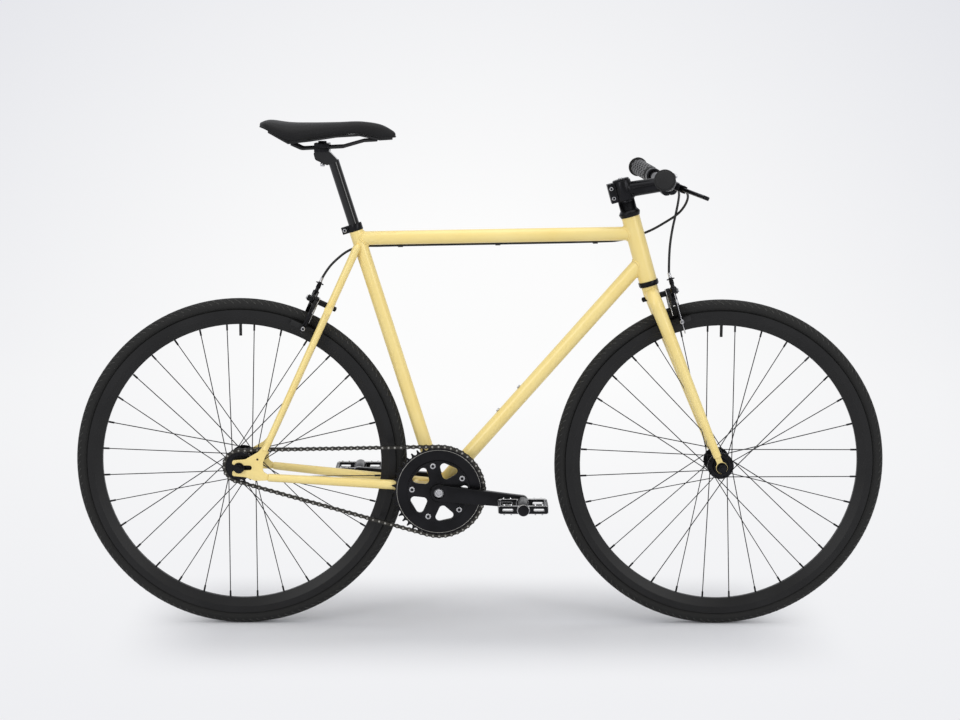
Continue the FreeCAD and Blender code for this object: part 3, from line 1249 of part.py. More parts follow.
def crank_arm():
    """Tapered arm: its outline from the front, cut to its profile from above."""
    hub_r = CRANK_HUB_W / 2
    eye_r = CRANK_EYE_W / 2
    front = contour((0, hub_r), (-hub_r, 0, 0, -hub_r), (CRANK_L, -eye_r), (CRANK_L + eye_r, 0, CRANK_L, eye_r))
    start = -CRANK_HUB_W
    end = CRANK_L + CRANK_EYE_W
    above = polygon([
        (start, CRANK_HUB_IN), (hub_r, CRANK_HUB_IN), (CRANK_L - CRANK_EYE_W, CRANK_EYE_IN), (end, CRANK_EYE_IN),
        (end, CRANK_EYE_OUT), (CRANK_L - CRANK_EYE_W, CRANK_EYE_OUT), (hub_r, CRANK_HUB_OUT), (start, CRANK_HUB_OUT)])
    side_view = local(V(0, 0, 0), X_AXIS, Z_AXIS)
    arm = slab(front, CRANK_HUB_IN - 1, CRANK_EYE_OUT + 1).common(slab(above, -CRANK_HUB_W, CRANK_HUB_W, side_view))
    boss = rod(V(0, 0, CRANK_BOSS_IN), V(0, 0, CRANK_HUB_OUT - 1), CRANK_BOSS_D / 2)
    eye = rod(V(CRANK_L, 0, 0), V(CRANK_L, 0, 100), PEDAL_THREAD_D / 2)
    return arm.fuse(boss), eye


def crank_bores():
    half = SQUARE_W / 2
    square = Part.makeBox(SQUARE_W, SQUARE_W, 100, V(-half, -half, 0))
    recess = rod(V(0, 0, BOLT_RECESS_IN), V(0, 0, 100), BOLT_RECESS_D / 2)
    return square.fuse(recess)


def right_crank():
    arm, eye = crank_arm()
    web = slab(spider_windows(disc(0, 0, SPIDER_D / 2)), SPIDER_IN, SPIDER_IN + SPIDER_T)
    crank = arm.fuse(web).cut(eye).cut(crank_bores())
    return placed(crank, CRANK_FRAME)


def left_crank():
    arm, eye = crank_arm()
    return turned_half(placed(arm.cut(eye).cut(crank_bores()), CRANK_FRAME))


def turned_half(shape):
    """The same piece on the bike's other side, half a turn of the cranks away."""
    opposite = shape.copy()
    opposite.rotate(BB, Y_AXIS, 180)
    return mirrored(opposite)


def chainring_bolts():
    outside = SPIDER_IN + SPIDER_T
    heads = [rod(place + Z_AXIS * outside, place + Z_AXIS * (outside + RING_BOLT_HEAD), RING_BOLT_D / 2)
             for place in ring_bolt_places()]
    return placed(group(*heads), CRANK_FRAME)


def bottom_bracket_spindle():
    round_part = rod(V(0, 0, -CRANK_BOSS_IN), V(0, 0, CRANK_BOSS_IN), BB_SPINDLE_D / 2)
    half = SQUARE_W / 2
    square = Part.makeBox(SQUARE_W, SQUARE_W, 2 * BOLT_RECESS_IN, V(-half, -half, -BOLT_RECESS_IN))
    square = square.common(rod(V(0, 0, -BOLT_RECESS_IN), V(0, 0, BOLT_RECESS_IN), BB_SPINDLE_D / 2))
    bolt = rod(V(0, 0, BOLT_RECESS_IN), V(0, 0, BOLT_RECESS_IN + 4), CRANK_BOLT_D / 2)
    other = rod(V(0, 0, -BOLT_RECESS_IN - 4), V(0, 0, -BOLT_RECESS_IN), CRANK_BOLT_D / 2)
    return placed(round_part.fuse(square).fuse(bolt).fuse(other), CRANK_FRAME)


PEDAL_AT = BB + CRANK_AHEAD * CRANK_L
PEDAL_BODY_IN = CRANK_EYE_OUT + PEDAL_FLANGE_T + PEDAL_START_GAP
PEDAL_BODY_OUT = PEDAL_BODY_IN + PEDAL_W
PEDAL_FRAME = local(PEDAL_AT, X_AXIS, Z_AXIS)


def pedal_spindle():
    thread = rod(V(0, 0, CRANK_EYE_IN), V(0, 0, CRANK_EYE_OUT), PEDAL_THREAD_D / 2)
    flange = rod(V(0, 0, CRANK_EYE_OUT), V(0, 0, CRANK_EYE_OUT + PEDAL_FLANGE_T), PEDAL_FLANGE_D / 2)
    pin = rod(V(0, 0, CRANK_EYE_OUT), V(0, 0, PEDAL_BODY_OUT - CLEARANCE), PEDAL_AXLE_D / 2)
    return placed(thread.fuse(flange).fuse(pin), PEDAL_FRAME)


def pedal_body():
    """Cage pedal: two slotted side plates, front and rear rails, and a barrel round the spindle."""
    half_l = PEDAL_L / 2
    half_h = PEDAL_PLATE_H / 2
    fillet = half_h * 0.6
    outline = rounded_face([(-half_l, -half_h, fillet), (half_l, -half_h, fillet), (half_l, half_h, fillet),
                            (-half_l, half_h, fillet)])
    for side in (-1, 1):
        middle = side * (half_l + PEDAL_BARREL_D / 2) / 2
        reach = (PEDAL_SLOT_L - PEDAL_SLOT_H) / 2
        outline = outline.cut(capsule((middle - reach, 0), (middle + reach, 0), PEDAL_SLOT_H / 2))
    body = rod(V(0, 0, PEDAL_BODY_IN), V(0, 0, PEDAL_BODY_OUT + PEDAL_CAP_T), PEDAL_BARREL_D / 2)
    for low in (PEDAL_BODY_IN, PEDAL_BODY_OUT - PEDAL_PLATE_T):
        body = body.fuse(slab(outline, low, low + PEDAL_PLATE_T))
    for side in (-1, 1):
        x = side * (half_l - PEDAL_RAIL_T / 2) - PEDAL_RAIL_T / 2
        body = body.fuse(Part.makeBox(PEDAL_RAIL_T, PEDAL_RAIL_H, PEDAL_W,
                                      V(x, -PEDAL_RAIL_H / 2, PEDAL_BODY_IN)))
    bore = rod(V(0, 0, 0), V(0, 0, PEDAL_BODY_OUT), PEDAL_AXLE_D / 2 + RUNNING_FIT)
    return placed(body.cut(bore), PEDAL_FRAME)


# Seat
def on_post(along):
    return on_seat(along)


def rail_route():
    at = on_post(SEATPOST_TOP)
    shape = [(-83, RAIL_CLAMP_Y + 6, 34.6), (-62, RAIL_CLAMP_Y + 3, 25), (20, RAIL_CLAMP_Y, 29),
             (62, RAIL_CLAMP_Y - 8, 41), (88, RAIL_CLAMP_Y - 14, 42.4)]
    return bent_route([at + V(x, y, z) for x, y, z in shape], 14)


def clamp_centre():
    return on_post(SEATPOST_TOP) + V(-22, 0, 26.6)


def seatpost():
    top = on_post(SEATPOST_TOP)
    shaft = rod(on_post(SEATPOST_BOTTOM), top, SEATPOST_D / 2)
    bore = rod(on_post(SEATPOST_BOTTOM), on_post(SEATPOST_TOP - 40), SEATPOST_D / 2 - 2)
    head = rounded_face([(11, 0, 3), (-6, SEAT_HEAD_H, 5), (-40, SEAT_HEAD_H, 4), (-36, 2, 6), (-12, -9, 4)])
    head = side_plate(head, -SEAT_HEAD_W / 2, SEAT_HEAD_W / 2, top)
    bolt_at = clamp_centre()
    hole = rod(bolt_at - Z_AXIS * 60, bolt_at, CLAMP_BOLT_D / 2)
    return shaft.fuse(head).cut(bore).cut(hole)


def saddle_clamp():
    """Lower cradle and upper plate that hold the two rails, with the bolt through both."""
    centre = clamp_centre()
    head_top = on_post(SEATPOST_TOP).z + SEAT_HEAD_H
    rails = both_sides(swept(rail_route(), RAIL_D / 2))
    low_h = centre.z - 1 - head_top
    corner = V(centre.x - CLAMP_L / 2, -CLAMP_W / 2, head_top)
    lower = Part.makeBox(CLAMP_L, CLAMP_W, low_h, corner)
    upper = Part.makeBox(CLAMP_L, CLAMP_W, 8, V(corner.x, corner.y, centre.z + 1))
    dome = rod(centre + Z_AXIS * 9, centre + Z_AXIS * 13, CLAMP_BOLT_D / 2 + 4.5)
    bolt = rod(centre - Z_AXIS * 33, centre + Z_AXIS * 13, CLAMP_BOLT_D / 2)
    lower = lower.cut(rails).cut(bolt)
    upper = upper.cut(rails).fuse(dome).cut(bolt)
    return group(lower, upper, bolt)


SADDLE_STATIONS = [(-143, 46, 77.0, 68.0), (-126, 68, 81.5, 61.0), (-86, 73, 77.0, 39.0), (-41, 62, 76.5, 44.0),
                   (9, 42, 77.5, 51.5), (54, 27, 79.0, 54.0), (94, 20, 73.5, 45.5), (119, 14, 61.0, 47.0),
                   (125, 8, 55.0, 48.0)]


def saddle_section(x, half_w, low, high):
    """Cross-section of the saddle: flat below, drawn in at the sides and crowned on top."""
    at = on_post(SEATPOST_TOP)
    height = high - low
    foot = 0.92 * half_w
    shoulder = 0.8 * half_w

    def point(y, z):
        return V(at.x + x, y, at.z + z)

    right = point(shoulder, low + 0.84 * height)
    left = point(-shoulder, low + 0.84 * height)
    edges = [Part.LineSegment(point(-foot, low), point(foot, low)).toShape(),
             Part.Arc(point(foot, low), point(half_w, low + 0.45 * height), right).toShape(),
             Part.Arc(right, point(0, high), left).toShape(),
             Part.Arc(left, point(-half_w, low + 0.45 * height), point(-foot, low)).toShape()]
    return Part.Wire(edges)


def saddle_cover():
    return Part.makeLoft([saddle_section(x, w, low, high) for x, w, high, low in SADDLE_STATIONS], True, True)


def shell_section(x, half_w, high):
    at = on_post(SEATPOST_TOP)
    corners = [(-half_w, high), (half_w, high), (half_w, high - SADDLE_SHELL_T), (-half_w, high - SADDLE_SHELL_T)]
    return Part.makePolygon([V(at.x + x, at.y + y, at.z + z) for y, z in corners + corners[:1]])


def saddle_base():
    inner = SADDLE_STATIONS[1:-1]
    sections = [shell_section(x, SADDLE_SHELL_SHARE * w, low - CLEARANCE) for x, w, high, low in inner]
    shell = Part.makeLoft(sections, True, True)
    rail = swept(rail_route(), RAIL_D / 2).cut(shell)
    return group(shell, rail, mirrored(rail))


def write(name, shape):
    shape.exportStep(f"parts/{name}.step")


def write_frame():
    plate = dropout()
    stays = seatstays()
    write("head_tube", head_tube())
    write("top_tube", top_tube())
    write("down_tube", down_tube())
    write("seat_tube", seat_tube())
    write("bottom_bracket_shell", bottom_bracket_shell())
    write("chainstays", chainstays(plate))
    write("seatstays", stays)
    write("rear_dropouts", both_sides(plate))
    write("headset_cups", headset_cups())
    write("bottom_bracket_cartridge", bottom_bracket_cartridge())
    write("seat_collar", seat_collar())
    write("bottle_cage_bolts", bottle_cage_bolts())
    write("cable_clips", cable_clips())
    write("rear_brake_cable", rear_brake_cable())
    write("rear_brake_bolt", brake_bolt(REAR_CALIPER, REAR_CALIPER_REACH, BRAKE_BRIDGE_D / 2, stays.Solids[-1]))
    write("rear_axle", axle_set(REAR_AXLE, REAR_OVER_LOCKNUTS, REAR_AXLE_D, REAR_AXLE_L, DROPOUT_T))
    write("chain", chain())


def write_steering():
    crown = steerer_tube()
    write("steerer_tube", crown)
    write("fork_legs", fork_legs())
    write("headset_spacers", headset_spacers())
    write("stem", stem())
    write("stem_faceplate", stem_faceplate())
    write("stem_bolts", stem_bolts())
    write("handlebar", handlebar())
    write("grips", grips())
    write("brake_lever_perches", brake_lever_perches())
    write("front_brake_cable", front_brake_cable())
    write("front_brake_bolt", brake_bolt(FRONT_CALIPER, FRONT_CALIPER_REACH, CROWN_NECK_D / 2, crown))
    write("front_axle", axle_set(FRONT_AXLE, FRONT_OVER_LOCKNUTS, FRONT_AXLE_D, FRONT_AXLE_L, FORK_END_T))
    write("right_brake_lever", brake_lever())
    write("left_brake_lever", mirrored(brake_lever()))


def write_brakes():
    for name, frame, drop in (("front", FRONT_CALIPER, FRONT_PAD_DROP), ("rear", REAR_CALIPER, REAR_PAD_DROP)):
        write(f"{name}_brake_inner_arm", inner_arm(frame, drop))
        write(f"{name}_brake_outer_arm", outer_arm(frame, drop))
        write(f"{name}_brake_inner_pad", brake_pad(frame, 1, INNER_ARM, drop))
        write(f"{name}_brake_outer_pad", brake_pad(frame, -1, OUTER_ARM, drop))


def write_wheels():
    write("front_hub", front_hub())
    write("rear_hub", rear_hub())
    write("cog", cog())
    for name, axle, flange_y, circle_d in (("front", FRONT_AXLE, FRONT_FLANGE_Y, FRONT_SPOKE_CIRCLE_D),
                                           ("rear", REAR_AXLE, REAR_FLANGE_Y, REAR_SPOKE_CIRCLE_D)):
        write(f"{name}_rim", rim(axle))
        write(f"{name}_tyre", tyre(axle))
        write(f"{name}_spokes", spokes(axle, flange_y, circle_d))


def write_cranks():
    spindle = pedal_spindle()
    body = pedal_body()
    write("bottom_bracket_spindle", bottom_bracket_spindle())
    write("right_crank", right_crank())
    write("chainring", chainring())
    write("chainring_bolts", chainring_bolts())
    write("left_crank", left_crank())
    write("pedal_spindles", group(spindle, turned_half(spindle)))
    write("right_pedal", body)
    write("left_pedal", turned_half(body))


def write_seat():
    write("seatpost", seatpost())
    write("saddle_clamp", saddle_clamp())
    write("saddle_base", saddle_base())
    write("saddle_cover", saddle_cover())


os.makedirs("parts", exist_ok=True)
write_frame()
write_steering()
write_brakes()
write_wheels()
write_cranks()
write_seat()
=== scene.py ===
# %% [markdown]
# # A fixed gear bike
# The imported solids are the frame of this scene: tubes, wheels, cranks and levers keep their place and
# their joints. The cells below light them, give every surface its finish, round the edges that a solid
# model leaves sharp, and make what a solid model leaves plain, such as the saddle, the brake cables, the
# chain, the spokes, the screws and the tread.

# %% Load the solids
import json
import math

import bmesh
import bpy
from mathutils import Matrix, Vector

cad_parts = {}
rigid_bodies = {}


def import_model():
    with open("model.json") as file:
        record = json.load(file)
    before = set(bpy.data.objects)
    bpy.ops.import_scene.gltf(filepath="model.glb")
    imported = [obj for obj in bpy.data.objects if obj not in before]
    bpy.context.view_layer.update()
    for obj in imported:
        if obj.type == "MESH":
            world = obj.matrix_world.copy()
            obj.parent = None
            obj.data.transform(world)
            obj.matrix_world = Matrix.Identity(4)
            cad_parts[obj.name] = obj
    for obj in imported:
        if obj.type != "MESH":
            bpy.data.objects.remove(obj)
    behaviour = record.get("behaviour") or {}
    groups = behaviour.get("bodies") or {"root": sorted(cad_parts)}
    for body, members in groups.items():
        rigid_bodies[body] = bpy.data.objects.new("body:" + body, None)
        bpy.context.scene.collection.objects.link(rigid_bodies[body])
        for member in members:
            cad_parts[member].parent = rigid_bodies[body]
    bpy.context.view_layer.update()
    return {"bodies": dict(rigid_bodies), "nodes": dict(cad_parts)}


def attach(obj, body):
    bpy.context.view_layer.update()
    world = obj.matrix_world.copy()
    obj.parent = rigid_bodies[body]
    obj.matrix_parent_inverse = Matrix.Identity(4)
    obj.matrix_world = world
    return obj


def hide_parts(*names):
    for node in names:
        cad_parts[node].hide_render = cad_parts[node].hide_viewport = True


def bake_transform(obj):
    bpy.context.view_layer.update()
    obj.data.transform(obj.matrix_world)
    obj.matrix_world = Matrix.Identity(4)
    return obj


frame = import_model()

MM = 0.001

# %% [markdown]
# ## Camera
# The bike was photographed from its right side, from a little above the saddle, with a long lens. The
# camera below stands in that place: its lens, place and tilt were fitted to the photograph. A long lens
# keeps the two wheels equally round and the tubes straight.

# %% Camera
SENSOR_WIDTH = 36.0
FOCAL_PIXELS, PHOTO_PIXELS = 1979, 960
CAMERA_AT = (-0.045, -4.007, 1.125)
CAMERA_PAN, CAMERA_DIP, CAMERA_ROLL = -0.61, 8.14, 0.24


def turned_about(axis, degrees):
    return Matrix.Rotation(math.radians(degrees), 4, axis)


camera = bpy.data.objects.new("camera", bpy.data.cameras.new("camera"))
camera.data.sensor_fit = "HORIZONTAL"
camera.data.sensor_width = SENSOR_WIDTH
camera.data.lens = SENSOR_WIDTH * FOCAL_PIXELS / PHOTO_PIXELS
camera.data.clip_end = 60.0
aim = turned_about("Z", CAMERA_PAN) @ turned_about("X", 90 - CAMERA_DIP) @ turned_about("Z", CAMERA_ROLL)
camera.matrix_world = Matrix.Translation(CAMERA_AT) @ aim
bpy.context.scene.collection.objects.link(camera)
bpy.context.scene.camera = camera
bpy.context.scene.view_settings.view_transform = "Standard"
print("camera lens", round(camera.data.lens, 1), "mm")


# %% Small helpers for colours and nodes
def linear(code):
    """An sRGB hex colour as the linear RGBA that sockets take."""
    values = [int(code[i:i + 2], 16) / 255 for i in (1, 3, 5)]
    return tuple(v / 12.92 if v <= 0.04045 else ((v + 0.055) / 1.055) ** 2.4 for v in values) + (1.0,)


def add(tree, kind, inputs=None, **settings):
    """One node with its settings, and a value or a link for each input named."""
    node = tree.nodes.new(kind)
    for name, value in settings.items():
        setattr(node, name, value)
    for key, value in (inputs or {}).items():
        for one in value if isinstance(value, list) else [value]:
            if isinstance(one, bpy.types.NodeSocket):
                tree.links.new(one, node.inputs[key])
            else:
                node.inputs[key].default_value = one
    return node


def start_material(name):
    """An empty node material, its tree and its Object coordinates."""
    material = bpy.data.materials.new(name)
    material.use_nodes = True
    material.node_tree.nodes.clear()
    print("finish:", name)
    return material, material.node_tree, add(material.node_tree, "ShaderNodeTexCoord").outputs["Object"]


def two_tones(tree, fac, dark, light, low=0.3, high=0.7):
    """A colour that goes from one hex tone to another with a pattern's value."""
    ramp = add(tree, "ShaderNodeValToRGB", {"Fac": fac})
    ramp.color_ramp.elements[0].position = low
    ramp.color_ramp.elements[1].position = high
    ramp.color_ramp.elements[0].color = linear(dark)
    ramp.color_ramp.elements[1].color = linear(light)
    return ramp.outputs["Color"]


def spread(tree, fac, low, high):
    """A value that follows a pattern between two limits, for roughness."""
    return add(tree, "ShaderNodeMapRange", {"Value": fac, "To Min": low, "To Max": high}).outputs["Result"]


def show(tree, shader, out="BSDF"):
    add(tree, "ShaderNodeOutputMaterial", {"Surface": shader.outputs[out]})


# %% [markdown]
# ## Light and floor
# A studio sweep is a pale floor that curves up into a wall, lit by large soft lamps, so the shadow under
# the tyres is wide and faint and black metal shows pale streaks. Photographers light such a wall by
# itself. Here the paper glows where the camera or a reflection looks at it. This glow is painted light:
# white behind the bike and painted greyer towards the edges. Under the bike the glow fades to plain lit
# paper, so the darker pool there is partly the floor's real shadow and partly painted shade. The glow
# lights no matt surface.


# %% Floor and wall
FLOOR_REACH, FLOOR_BACK, BEND_R, BEND_STEPS, WALL_TOP = 40.0, 4.0, 3.0, 12, 9.0


def sweep_mesh():
    """Floor that curves up into a wall behind the bike."""
    profile = [(-FLOOR_REACH, 0.0), (FLOOR_BACK, 0.0)]
    for step in range(1, BEND_STEPS + 1):
        angle = math.radians(90 * step / BEND_STEPS)
        profile.append((FLOOR_BACK + BEND_R * math.sin(angle), BEND_R - BEND_R * math.cos(angle)))
    profile.append((FLOOR_BACK + BEND_R, WALL_TOP))
    verts = [(x, y, z) for y, z in profile for x in (-FLOOR_REACH, FLOOR_REACH)]
    faces = [(2 * i, 2 * i + 1, 2 * i + 3, 2 * i + 2) for i in range(len(profile) - 1)]
    mesh = bpy.data.meshes.new("studio_sweep")
    mesh.from_pydata(verts, [], faces)
    mesh.polygons.foreach_set("use_smooth", [True] * len(faces))
    return mesh


# %% Background paper
# The glow is painted light. It is brightest behind the bike, where the floor starts to bend up, and is
# painted greyer away from there. SHADED gives, along and across the bike, how far from its middle the glow
# is whole and how near it is gone. Where it is gone, the darker pool is painted shade over the real shadow.
GLOW_MIDDLE, GLOW_SQUEEZE, GLOW_FADE, GLOW_SHARE = (0.0, 4.4, 0.05), (1.3, 0.6, 1.6), (0.9, 4.6), 0.97
SHADED = (("X", 0.76, 0.5), ("Y", 0.42, 0.1))
paper, tree, place = start_material("background_paper_with_painted_glow")
grain = add(tree, "ShaderNodeTexNoise", {"Vector": place, "Scale": 1 / (400 * MM), "Detail": 3.0})
matt = add(tree, "ShaderNodeBsdfPrincipled", {
    "Base Color": two_tones(tree, grain.outputs["Fac"], "#dcdde1", "#e1e2e6"), "Roughness": 0.9,
    "Specular IOR Level": 0.1})
from_middle = add(tree, "ShaderNodeVectorMath", {0: place, 1: GLOW_MIDDLE}, operation="SUBTRACT")
squeezed = add(tree, "ShaderNodeVectorMath", {0: from_middle.outputs["Vector"], 1: GLOW_SQUEEZE},
               operation="MULTIPLY")
reach = add(tree, "ShaderNodeVectorMath", {0: squeezed.outputs["Vector"]}, operation="LENGTH")
# Painted falloff: the glow's colour goes from white in the middle to grey towards the edges.
glow_painted_falloff = add(tree, "ShaderNodeMapRange", {
    "Value": reach.outputs["Value"], "From Min": GLOW_FADE[0], "From Max": GLOW_FADE[1]})
glow = add(tree, "ShaderNodeEmission", {
    "Color": two_tones(tree, glow_painted_falloff.outputs["Result"], "#fefefe", "#e5e6eb", 0.0, 1.0)})
floor_plan = add(tree, "ShaderNodeSeparateXYZ", {"Vector": place})
under_bike = []
for way, clear, full in SHADED:
    off = add(tree, "ShaderNodeMath", {0: floor_plan.outputs[way]}, operation="ABSOLUTE")
    under_bike.append(add(tree, "ShaderNodeMapRange", {
        "Value": off.outputs["Value"], "From Min": clear, "From Max": full}, interpolation_type="SMOOTHSTEP"))
in_shade = add(tree, "ShaderNodeMath", {i: side.outputs["Result"] for i, side in enumerate(under_bike)},
               operation="MULTIPLY")
# Painted shade: the glow's share drops to nothing under the bike and leaves a darker pool.
share = add(tree, "ShaderNodeMapRange", {
    "Value": in_shade.outputs["Value"], "To Min": GLOW_SHARE, "To Max": 0.0})
rays = add(tree, "ShaderNodeLightPath")
shown = add(tree, "ShaderNodeMath", {0: rays.outputs["Is Camera Ray"], 1: rays.outputs["Is Glossy Ray"]},
            operation="MAXIMUM")
seen = add(tree, "ShaderNodeMath", {0: shown.outputs["Value"], 1: rays.outputs["Is Transmission Ray"]},
           operation="MAXIMUM")
glowing = add(tree, "ShaderNodeMath", {0: seen.outputs["Value"], 1: share.outputs["Result"]},
              operation="MULTIPLY")
show(tree, add(tree, "ShaderNodeMixShader", {
    "Fac": glowing.outputs["Value"], 1: matt.outputs["BSDF"], 2: glow.outputs["Emission"]}), "Shader")
# The glow isn't a lamp, so the renderer needn't sample it as one.
paper.cycles.emission_sampling = "NONE"
sweep = bpy.data.objects.new("studio_sweep", sweep_mesh())
sweep.data.materials.append(paper)
bpy.context.scene.collection.objects.link(sweep)
print("sweep:", len(sweep.data.polygons), "faces")

# %% Lamps
world = bpy.data.worlds.new("studio_air")
world.use_nodes = True
world.node_tree.nodes["Background"].inputs["Color"].default_value = linear("#ffffff")
world.node_tree.nodes["Background"].inputs["Strength"].default_value = 0.45
bpy.context.scene.world = world


def softbox(name, at, aim, size, watts):
    lamp = bpy.data.lights.new(name, "AREA")
    lamp.shape = "RECTANGLE"
    lamp.size, lamp.size_y = size
    lamp.energy = watts
    box = bpy.data.objects.new(name, lamp)
    facing = (Vector(aim) - Vector(at)).to_track_quat("-Z", "Y").to_matrix().to_4x4()
    box.matrix_world = Matrix.Translation(at) @ facing
    bpy.context.scene.collection.objects.link(box)


softbox("softbox_above", (0.0, -0.3, 3.6), (0, 0, 0), (4.2, 3.2), 62)
softbox("softbox_left", (-3.0, -3.6, 2.3), (-0.2, 0, 0.6), (1.3, 2.6), 58)
softbox("softbox_right", (3.0, -3.6, 2.3), (0.2, 0, 0.6), (1.3, 2.6), 58)

# %% [markdown]
# ## Paint, metal, rubber and leather
# Each finish below is named for the real material. The paint is a baked enamel: an even colour under a
# thin clear coat, whose highlight is a soft band along a tube and not a sharp line. Black anodised
# aluminium is a thin dyed oxide on metal, so it is dark with a soft grey sheen. Steel parts are plated,
# rubber is moulded and dull. Noise of a real size varies each colour and roughness a little.

# %% Yellow enamel
# Sprayed and baked: a smooth coat with the faintest orange peel, about 3 mm from crest to crest.
enamel, tree, place = start_material("baked_enamel_pale_yellow")
cloud = add(tree, "ShaderNodeTexNoise", {"Vector": place, "Scale": 1 / (90 * MM), "Detail": 4.0})
peel = add(tree, "ShaderNodeTexNoise", {"Vector": place, "Scale": 1 / (3 * MM), "Detail": 2.0})
bump = add(tree, "ShaderNodeBump", {"Height": peel.outputs["Fac"], "Strength": 0.02, "Distance": 0.05 * MM})
show(tree, add(tree, "ShaderNodeBsdfPrincipled", {
    "Base Color": two_tones(tree, cloud.outputs["Fac"], "#f4da88", "#f7e196"),
    "Roughness": spread(tree, cloud.outputs["Fac"], 0.34, 0.42), "Normal": bump.outputs["Normal"],
    "IOR": 1.5, "Coat Weight": 0.35, "Coat Roughness": 0.2}))

# %% Black anodised aluminium
# Bead-blasted, then dyed: a fine grain of about 0.5 mm, drawn at 1.2 mm so that it shows.
anodised, tree, place = start_material("anodised_aluminium_black")
grain = add(tree, "ShaderNodeTexNoise", {"Vector": place, "Scale": 1 / (1.2 * MM), "Detail": 3.0})
wear = add(tree, "ShaderNodeTexNoise", {"Vector": place, "Scale": 1 / (45 * MM), "Detail": 5.0})
bump = add(tree, "ShaderNodeBump", {"Height": grain.outputs["Fac"], "Strength": 0.08, "Distance": 0.05 * MM})
show(tree, add(tree, "ShaderNodeBsdfPrincipled", {
    "Base Color": two_tones(tree, wear.outputs["Fac"], "#161618", "#212124"),
    "Roughness": spread(tree, wear.outputs["Fac"], 0.26, 0.4), "Normal": bump.outputs["Normal"],
    "Metallic": 0.8}))

# %% Gloss black alloy
# Polished before it was dyed, as on the seatpost: long clean reflections, with faint patches about 6 mm
# wide where the polishing wheel pressed more or less.
polished, tree, place = start_material("polished_alloy_black")
patches = add(tree, "ShaderNodeTexNoise", {"Vector": place, "Scale": 1 / (6 * MM), "Detail": 4.0})
show(tree, add(tree, "ShaderNodeBsdfPrincipled", {
    "Base Color": two_tones(tree, patches.outputs["Fac"], "#09090a", "#101011"),
    "Roughness": spread(tree, patches.outputs["Fac"], 0.14, 0.24), "Specular IOR Level": 0.3,
    "Coat Weight": 0.35, "Coat Roughness": 0.04}))

# %% Powder-coated rim
# Baked powder on the rims: a slightly pebbled satin black, with pebbles about 1.4 mm across.
powder, tree, place = start_material("powder_coat_satin_black")
pebble = add(tree, "ShaderNodeTexVoronoi", {"Vector": place, "Scale": 1 / (1.4 * MM)})
haze = add(tree, "ShaderNodeTexNoise", {"Vector": place, "Scale": 1 / (70 * MM), "Detail": 4.0})
bump = add(tree, "ShaderNodeBump", {
    "Height": pebble.outputs["Distance"], "Strength": 0.1, "Distance": 0.08 * MM})
show(tree, add(tree, "ShaderNodeBsdfPrincipled", {
    "Base Color": two_tones(tree, haze.outputs["Fac"], "#121213", "#19191a"),
    "Roughness": spread(tree, haze.outputs["Fac"], 0.38, 0.5), "Normal": bump.outputs["Normal"],
    "Specular IOR Level": 0.28}))

# %% Plated steels
# Nuts, axles and spokes are plated black and screws are bright zinc. The chain is oiled and dark, but
# rubbed bright on its pins, and the same bright steel makes the painted highlight ring on the chainring.
# The pedal cages are worn to bare metal along their edges.
steels = {}
for name, dark, light, rough, metal in (
        ("black_oxide_steel", "#1c1c1e", "#2a2a2c", (0.22, 0.34), 0.9),
        ("bright_zinc_steel", "#a9a9ab", "#cfcfd1", (0.18, 0.34), 1.0),
        ("oiled_chain_steel", "#33322f", "#494743", (0.28, 0.45), 0.9),
        ("rubbed_pin_and_highlight_steel", "#8f8d88", "#b3b1ab", (0.25, 0.4), 1.0),
        ("worn_cage_edge", "#b2b2b4", "#d2d2d4", (0.25, 0.4), 1.0)):
    steels[name], tree, place = start_material(name)
    grain = add(tree, "ShaderNodeTexNoise", {"Vector": place, "Scale": 1 / (4 * MM), "Detail": 5.0})
    show(tree, add(tree, "ShaderNodeBsdfPrincipled", {
        "Base Color": two_tones(tree, grain.outputs["Fac"], dark, light),
        "Roughness": spread(tree, grain.outputs["Fac"], *rough), "Metallic": metal}))

# %% Rubbers and plastics
# Moulded rubber scatters light from a skin of tiny pores; cable housing is a smooth extruded sleeve.
rubbers = {}
for name, dark, light, rough, pore, depth in (
        ("tyre_tread_rubber", "#111111", "#181817", (0.6, 0.78), 2.2, 0.25),
        # Tread blocks: lighter grey than the tyre, a painted highlight for the small ticks of light they
        # catch.
        ("tread_block_rubber_painted_highlight", "#2a2a29", "#3b3b39", (0.5, 0.65), 2.2, 0.1),
        ("moulded_grip_rubber", "#141415", "#1d1d1e", (0.5, 0.66), 1.0, 0.2),
        # Grip pads: lighter grey than the grip, a painted highlight for the light that falls on them from
        # above.
        ("grip_pad_rubber_painted_highlight", "#58585a", "#6e6e70", (0.4, 0.5), 1.0, 0.1),
        ("brake_block_rubber", "#161617", "#1f1f20", (0.6, 0.75), 1.5, 0.15),
        ("extruded_cable_housing", "#0c0c0d", "#141415", (0.25, 0.4), 5.0, 0.03),
        ("moulded_nylon_black", "#121213", "#1b1b1d", (0.36, 0.5), 1.2, 0.1)):
    rubbers[name], tree, place = start_material(name)
    pores = add(tree, "ShaderNodeTexNoise", {"Vector": place, "Scale": 1 / (pore * MM), "Detail": 4.0})
    dust = add(tree, "ShaderNodeTexNoise", {"Vector": place, "Scale": 1 / (35 * MM), "Detail": 3.0})
    bump = add(tree, "ShaderNodeBump", {
        "Height": pores.outputs["Fac"], "Strength": depth, "Distance": 0.2 * MM})
    show(tree, add(tree, "ShaderNodeBsdfPrincipled", {
        "Base Color": two_tones(tree, dust.outputs["Fac"], dark, light),
        "Roughness": spread(tree, dust.outputs["Fac"], *rough), "Normal": bump.outputs["Normal"],
        "Specular IOR Level": 0.35}))

